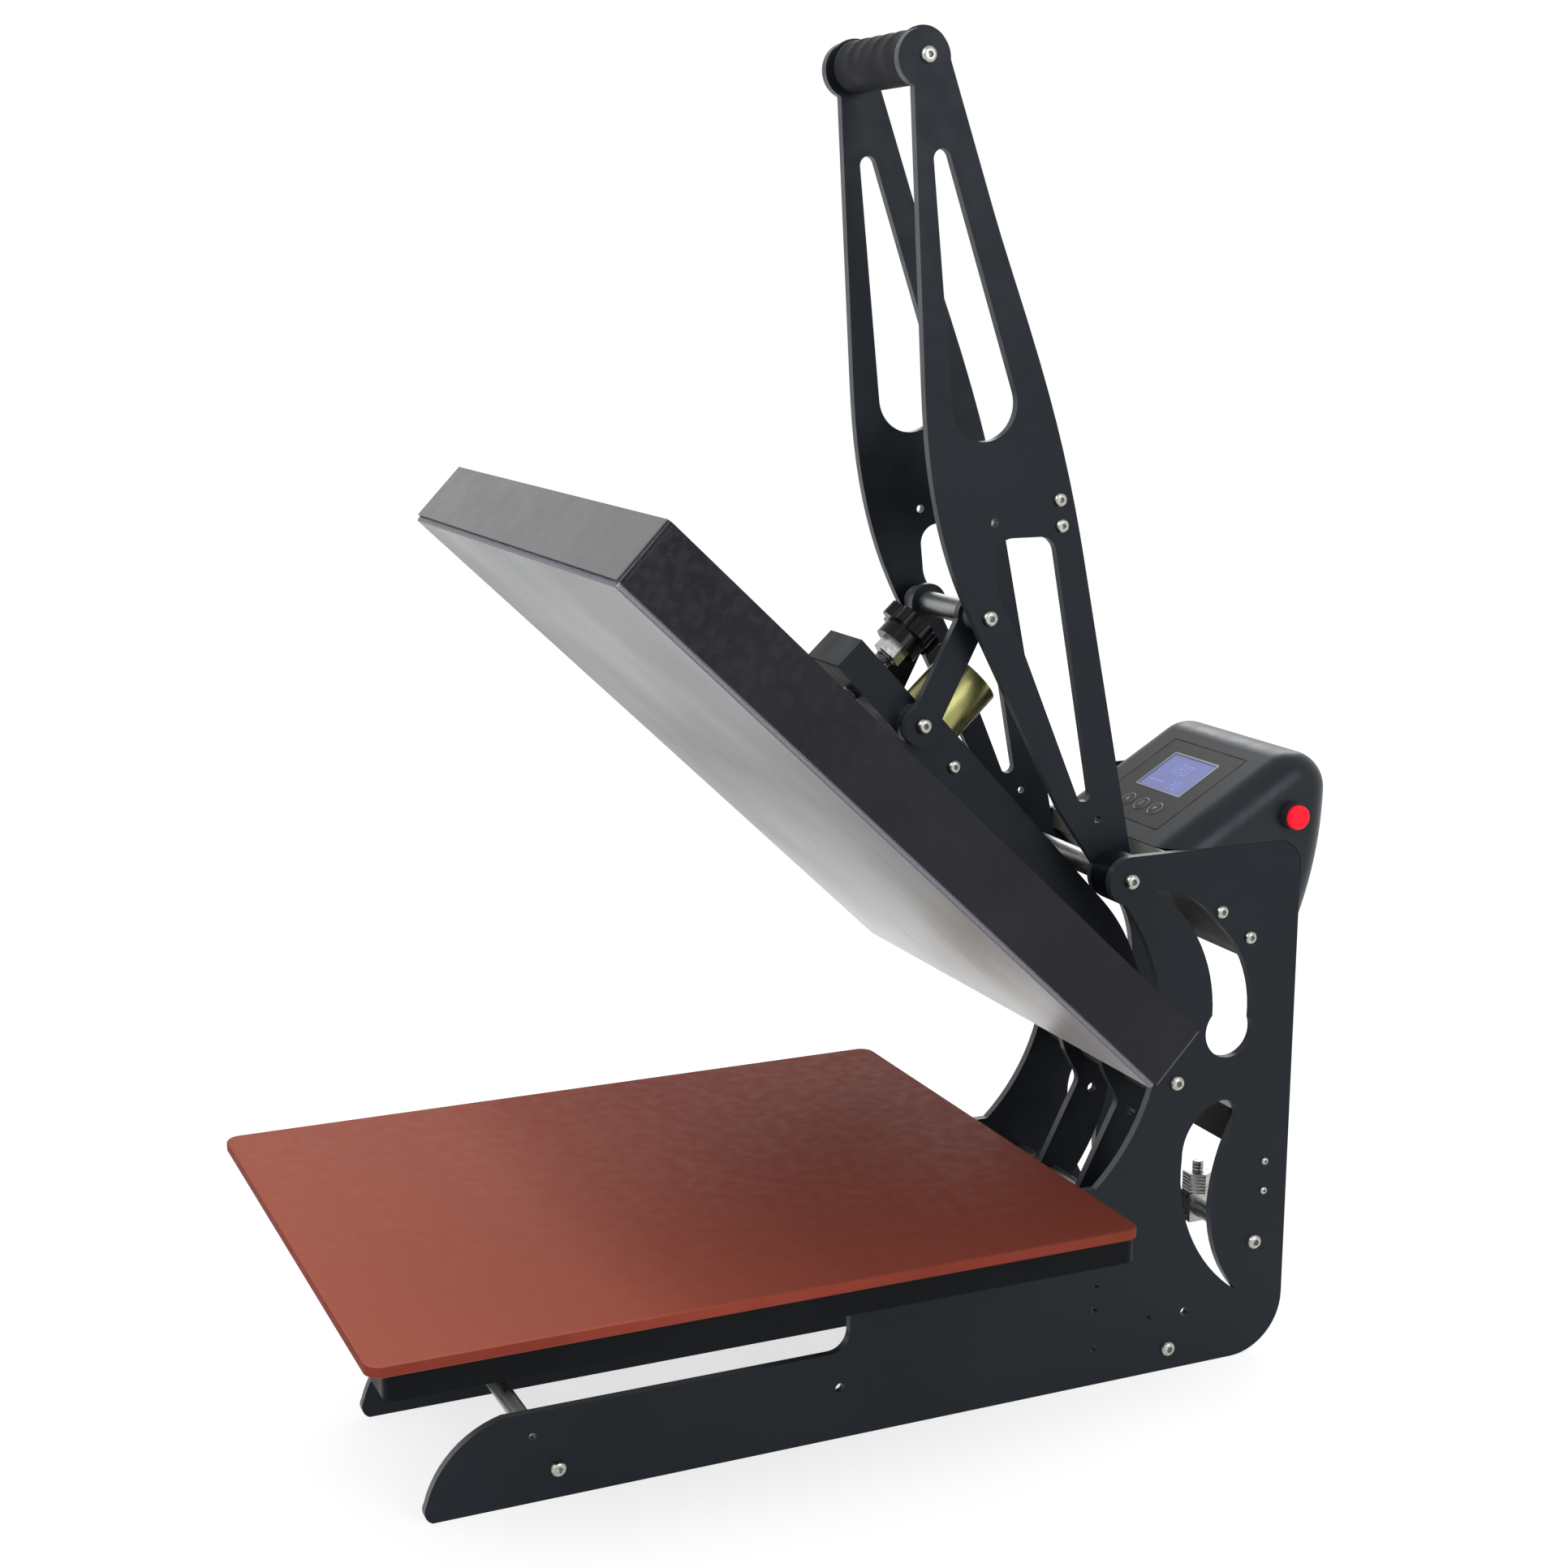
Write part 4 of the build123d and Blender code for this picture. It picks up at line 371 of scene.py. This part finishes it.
finish = {
    "tie_rods": steel, "frame_screws": bright, "lower_platen": shaded_pan, "bed_rails": shaded_pan,
    "silicone_pad": silicone, "handle_shaft": steel, "arm_shaft": steel, "arm_spacers": steel,
    "control_tray": tray_green, "control_box": box_plastic, "control_panel": panel_plastic,
    "display": lcd, "control_board": board, "power_switch": key_plastic, "power_inlet": key_plastic,
    "relay": relay_black, "relay_bracket": zinc, "limit_switch": relay_black, "switch_screws": bright,
    "stop_block": zinc, "stop_bolt": bolt_thread, "handle_bushes": plate_black, "handle_grip": foam,
    "grip_rod": steel, "grip_flanges": plate_black, "grip_screws": bright, "armature": zinc,
    "armature_bar": plate_black, "armature_screws": bright, "crank_screws": bright,
    "link_tube": steel, "link_spacers": spacer, "beam": plate_black, "arm_screws": bright,
    "link_screws": bright, "arm_hub": steel, "magnet_cup": gold, "magnet_core": potting,
    "tail_pin": steel, "opening_springs": spring_wire, "heat_platen": platen_face,
    "platen_cover": cover_black, "heating_element": element_tube, "insulation": wool,
    "platen_hanger": plate_black, "pressure_stud": stud_thread, "pressure_knob": knob_plastic,
    "lock_nut": zinc, "button_up": key_plastic, "button_menu": key_plastic, "button_down": key_plastic,
    "power_button": red,
}
for label in PLATES:
    for hand in SIDES:
        finish[f"{label}_{hand}"] = plate_black


def paint(name, made):
    """Give a CAD node one material."""
    mesh = nodes[name].data
    mesh.materials.clear()
    mesh.materials.append(made)
    for face in mesh.polygons:
        face.material_index = 0


def paint_where(name, made, test):
    """Give the faces of a CAD node that pass the test another material."""
    mesh = nodes[name].data
    mesh.materials.append(made)
    index = len(mesh.materials) - 1
    for face in mesh.polygons:
        if test(face):
            face.material_index = index


for name, made in finish.items():
    paint(name, made)
# Every plate's edges take the painted highlight
for label in PLATES:
    for hand in SIDES:
        paint_where(f"{label}_{hand}", plate_rim_highlight, lambda face: abs(face.normal.x) < 0.5)
# The arm plates' edges near the link pin take the bright painted highlight
LINK_PIN = place(0, 424.05, 468.93)
HIGHLIGHT_REACH = 0.018
for hand in SIDES:
    paint_where(
        f"arm_plate_{hand}",
        link_end_highlight,
        lambda face: abs(face.normal.x) < 0.5 and (face.center.yz - LINK_PIN.yz).length < HIGHLIGHT_REACH,
    )
# The tray's downward faces take the painted shade
paint_where("control_tray", tray_shade, lambda face: face.normal.z < -0.3)
platen_down = PLATEN_OPEN.to_3x3() @ Vector((0, 0, -1))
platen_forward = PLATEN_OPEN.to_3x3() @ Vector((0, -1, 0))
# The platen's side edges take their painted reflection
paint_where("heat_platen", platen_side_reflection, lambda face: face.normal.dot(platen_down) < 0.9)
# The cover's front end takes its painted reflection
paint_where("platen_cover", cover_reflection, lambda face: face.normal.dot(platen_forward) > 0.9)


# Mesh helpers
def mesh_piece(name, points, faces, made, body, smooth=0.0):
    """A piece from its points and faces, riding on a body. Edges under the smooth angle are shaded round."""
    mesh = bpy.data.meshes.new(name)
    mesh.from_pydata([tuple(point) for point in points], [], faces)
    shape = bmesh.new()
    shape.from_mesh(mesh)
    bmesh.ops.recalc_face_normals(shape, faces=shape.faces)
    shape.to_mesh(mesh)
    shape.free()
    mesh.materials.append(made)
    piece = bpy.data.objects.new(name, mesh)
    bpy.context.scene.collection.objects.link(piece)
    if smooth:
        mesh.polygons.foreach_set("use_smooth", [True] * len(mesh.polygons))
        mesh.set_sharp_from_angle(angle=radians(smooth))
    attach(piece, body)
    return piece


def loft(rings, closed=False):
    """Faces between rings of equal count. A closed loft joins its last ring to its first."""
    points = [point for ring in rings for point in ring]
    count = len(rings[0])
    faces = []
    steps = len(rings) if closed else len(rings) - 1
    for step in range(steps):
        low = step * count
        high = ((step + 1) % len(rings)) * count
        for index in range(count):
            after = (index + 1) % count
            faces.append((low + index, low + after, high + after, high + index))
    if not closed:
        faces.append(tuple(range(count))[::-1])
        faces.append(tuple(range(len(points) - count, len(points))))
    return points, faces


def turned_piece(name, centre, axis, profile, made, body, sides=48, smooth=40):
    """A closed turned piece: its profile is (radius, height) points in metres round the section."""
    axis = Vector(axis).normalized()
    across = Vector((1, 0, 0)) if abs(axis.x) < 0.9 else Vector((0, 1, 0))
    other = axis.cross(across).normalized()
    across = other.cross(axis).normalized()
    rings = []
    for step in range(sides):
        angle = 2 * pi * step / sides
        out = across * cos(angle) + other * sin(angle)
        rings.append([Vector(centre) + out * radius + axis * height for radius, height in profile])
    points, faces = loft(rings, closed=True)
    return mesh_piece(name, points, faces, made, body, smooth)


def slab_piece(name, corners, point, low, high, made, body):
    """A thin slab over an outline, from one height to another."""
    rings = [[point(x, y, height) for x, y in corners] for height in (low, high)]
    points, faces = loft(rings)
    return mesh_piece(name, points, faces, made, body)


def rounded(width, length, radius, steps=6, centre=(0, 0)):
    """The outline of a rectangle with round corners."""
    outline = []
    for quarter, (sx, sy) in enumerate(((1, 1), (-1, 1), (-1, -1), (1, -1))):
        for step in range(steps + 1):
            angle = (quarter + step / steps) * pi / 2
            outline.append((
                centre[0] + sx * (width / 2 - radius) + radius * cos(angle),
                centre[1] + sy * (length / 2 - radius) + radius * sin(angle),
            ))
    return outline


# Silicone pad with softened edges, its profile as (height, inset)
PAD_CORNER = 10.0
PAD_PROFILE = ((160.7, 0.8), (161.3, 0.1), (166.4, 0.0), (167.3, 0.25), (167.9, 0.8), (168.2, 1.8))
pad_rings = []
for height, inset in PAD_PROFILE:
    width, length = (size - 2 * inset for size in PAD_SIZE)
    outline = rounded(width, length, PAD_CORNER - inset * 0.5, 10, (0, PAD_SIZE[1] / 2))
    pad_rings.append([place(x, y, height) for x, y in outline])
points, faces = loft(pad_rings)
pad = mesh_piece("sponge_pad", points, faces, silicone, "base", 35)
# The pad's sides take the darker red with its painted shade
pad.data.materials.append(silicone_side_shade)
for face in pad.data.polygons:
    if abs(face.normal.z) < 0.6:
        face.material_index = 1
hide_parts("silicone_pad")

# Foam grip with its finger scallops along the top
GRIP_HALF = 47.3
GRIP_RADIUS = 16.7
GRIP_BORE = 8.2
GRIP_STEPS = 144
GRIP_SIDES = 56
GRIP_END = 2.2
SCALLOPS = (-34, -17, 0, 17, 34)
SCALLOP_HALF = 6.9
SCALLOP_DEPTH = 1.1
SCALLOP_TURN = radians(12)


def grip_point(x, radius, angle):
    """A point of the grip: across, out from its centre, and round from the top."""
    return place(x, GRIP_CENTRE[0] - radius * sin(angle), GRIP_CENTRE[1] + radius * cos(angle))


grip_angles = [2 * pi * side / GRIP_SIDES for side in range(GRIP_SIDES)]
grip_rings = []
for step in range(GRIP_STEPS + 1):
    x = -GRIP_HALF + 2 * GRIP_HALF * step / GRIP_STEPS
    wave = sum(max(0.0, 1 - ((x - centre) / SCALLOP_HALF) ** 2) for centre in SCALLOPS)
    end = min(1.0, (GRIP_HALF - abs(x)) / GRIP_END)
    ring = []
    for angle in grip_angles:
        upper = max(0.0, cos(angle - SCALLOP_TURN)) ** 0.7
        radius = GRIP_RADIUS - SCALLOP_DEPTH * wave * upper - 1.0 * (1 - end) ** 2
        ring.append(grip_point(x, radius, angle))
    grip_rings.append(ring)
for x in (GRIP_HALF, -GRIP_HALF):
    grip_rings.append([grip_point(x, GRIP_BORE, angle) for angle in grip_angles])
points, faces = loft(grip_rings, closed=True)
grip = mesh_piece("foam_grip", points, faces, foam, "handle", 50)
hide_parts("handle_grip")

# Panel and display: a near-black ring round the panel as the seam's painted shade, a pale frame round the
# glass, and marks just over the glass
DISPLAY_WIDTH = 56.0
DISPLAY_START = 46.7
DISPLAY_LENGTH = 39.4
DISPLAY_MIDDLE = DISPLAY_START + DISPLAY_LENGTH / 2


def frame_piece(name, width, length, border, centre, out, made):
    """A flat frame on the panel with mitred corners."""
    outer = rounded(width, length, 1.5, 4, centre)
    inner = rounded(width - 2 * border, length - 2 * border, 0.8, 4, centre)
    rings = [
        [panel_point(x, along, out[0]) for x, along in outer],
        [panel_point(x, along, out[1]) for x, along in outer],
        [panel_point(x, along, out[1]) for x, along in inner],
        [panel_point(x, along, out[0]) for x, along in inner],
    ]
    points, faces = loft(rings, closed=True)
    return mesh_piece(name, points, faces, made, "base", 30)


PANEL_WIDTH = 90.0
PANEL_START = 14.0
PANEL_LENGTH = 84.0
SEAM = 1.0
PANEL_MIDDLE = PANEL_START + PANEL_LENGTH / 2
seam_size = (PANEL_WIDTH + SEAM, PANEL_LENGTH + SEAM)
frame_piece("panel_seam", *seam_size, SEAM, (0, PANEL_MIDDLE), (-0.4, 0.06), seam_painted_shade)
frame_piece("display_frame", DISPLAY_WIDTH, DISPLAY_LENGTH, 1.6, (0, DISPLAY_MIDDLE), (-0.35, 0.25), pale)
SEGMENTS = {
    "0": "abcdef", "1": "bc", "3": "abgcd", "8": "abcdefg",
}


MARK_LOW = -0.38
MARK_HIGH = -0.33


def digit(name, char, x, along, width, height):
    """A seven-segment digit lying just over the display's glass."""
    half = height / 2
    bar = 0.9
    spots = {
        "a": (x, along + half, width, bar), "g": (x, along, width, bar), "d": (x, along - half, width, bar),
        "f": (x - width / 2, along + half / 2, bar, half), "b": (x + width / 2, along + half / 2, bar, half),
        "e": (x - width / 2, along - half / 2, bar, half), "c": (x + width / 2, along - half / 2, bar, half),
    }
    for segment in SEGMENTS[char]:
        cx, cy, w, l = spots[segment]
        outline = rounded(w, l, 0.35, 2, (cx, cy))
        slab_piece(f"{name}_{segment}", outline, panel_point, MARK_LOW, MARK_HIGH, lcd_mark, "base")


for index, char in enumerate("180"):
    digit(f"temperature_{index}", char, -12 + index * 8.5, 72, 4.6, 10)
for index, char in enumerate("30"):
    digit(f"time_{index}", char, 6 + index * 7, 56, 3.6, 8)
bar_outline = rounded(20, 1.2, 0.5, 3, (-13, 56))
slab_piece("display_bar", bar_outline, panel_point, MARK_LOW, MARK_HIGH, lcd_mark, "base")

# Keys: a raised ring round each, with an arrow or bars on its cap
BUTTON_ALONG = 31.1
KEYS = (("up_key", -15.6, "up"), ("menu_key", 2.0, "bars"), ("down_key", 19.6, "down"))
KEY_RING = ((0.00545, -0.0002), (0.00545, 0.0004), (0.0058, 0.0006), (0.0062, 0.0004), (0.0062, -0.0002))
ICON_LOW = 0.55
ICON_HIGH = 0.68
ARROW_HALF = 2.0
for body, x, shape in KEYS:
    centre = panel_point(x, BUTTON_ALONG, 0)
    outward = panel_point(x, BUTTON_ALONG, 1) - centre
    turned_piece(f"{body}_ring", centre, outward, KEY_RING, icon, "base")
    if shape == "bars":
        for row in (-1.2, 0.4, 2.0):
            outline = rounded(3.6, 0.6, 0.25, 2, (x, BUTTON_ALONG + row))
            slab_piece(f"{body}_bar_{row:.0f}", outline, panel_point, ICON_LOW, ICON_HIGH, icon, body)
    else:
        tip = ARROW_HALF if shape == "up" else -ARROW_HALF
        foot = BUTTON_ALONG - tip * 0.6
        outline = [(x - ARROW_HALF, foot), (x + ARROW_HALF, foot), (x, BUTTON_ALONG + tip)]
        slab_piece(f"{body}_arrow", outline, panel_point, ICON_LOW, ICON_HIGH, icon, body)

# Stage, light and camera
FLOOR_HALF = 9.0
floor_corners = [(sx * FLOOR_HALF, sy * FLOOR_HALF, 0) for sx, sy in ((-1, -1), (1, -1), (1, 1), (-1, 1))]
floor_mesh = bpy.data.meshes.new("floor")
floor_mesh.from_pydata(floor_corners, [], [(0, 1, 2, 3)])
floor = bpy.data.objects.new("floor", floor_mesh)
floor_finish = surface("floor_white", (0.30, 0.30, 0.30), 0.95, Specular_IOR_Level=0.0)
glow(floor_finish, (1.0, 1.0, 1.0), 0.72)
floor_mesh.materials.append(floor_finish)
bpy.context.scene.collection.objects.link(floor)

world = bpy.data.worlds.new("studio")
world.use_nodes = True
world.node_tree.nodes["Background"].inputs["Color"].default_value = (1.0, 1.0, 1.0, 1)
world.node_tree.nodes["Background"].inputs["Strength"].default_value = 1.0
bpy.context.scene.world = world
bpy.context.scene.view_settings.view_transform = "Standard"


def softbox(name, spot, target, size, power):
    """A square area light aimed at a point."""
    lamp = bpy.data.lights.new(name, "AREA")
    lamp.size = size
    lamp.energy = power
    holder = bpy.data.objects.new(name, lamp)
    holder.location = spot
    holder.rotation_euler = (Vector(target) - Vector(spot)).to_track_quat("-Z", "Y").to_euler()
    bpy.context.scene.collection.objects.link(holder)


softbox("key", (1.6, -2.4, 2.6), (0, 0, 0.35), 1.8, 60)
softbox("fill", (2.8, 0.9, 1.4), (0, 0, 0.4), 1.6, 26)
softbox("back", (-2.2, 1.8, 2.4), (0, 0, 0.4), 1.8, 40)

# The camera's focal length and the picture's width are in pixels
FOCAL = 2965.516
PICTURE = 1932.0
SENSOR = 36.0
CAMERA_SPOT = (1418.82, -289.06, 758.08)
camera_data = bpy.data.cameras.new("camera")
camera_data.sensor_width = SENSOR
camera_data.lens = FOCAL * SENSOR / PICTURE
camera_data.clip_end = 50.0
camera = bpy.data.objects.new("camera", camera_data)
right = Vector((0.405072726, 0.914284140, 0.000773501))
down = Vector((0.189163910, -0.082981197, -0.978433007))
ahead = Vector((-0.894501594, 0.396482844, -0.206562951))
turn = Matrix((right, -down, -ahead)).transposed().to_4x4()
camera.matrix_world = Matrix.Translation(place(*CAMERA_SPOT)) @ turn
bpy.context.scene.collection.objects.link(camera)
bpy.context.scene.camera = camera
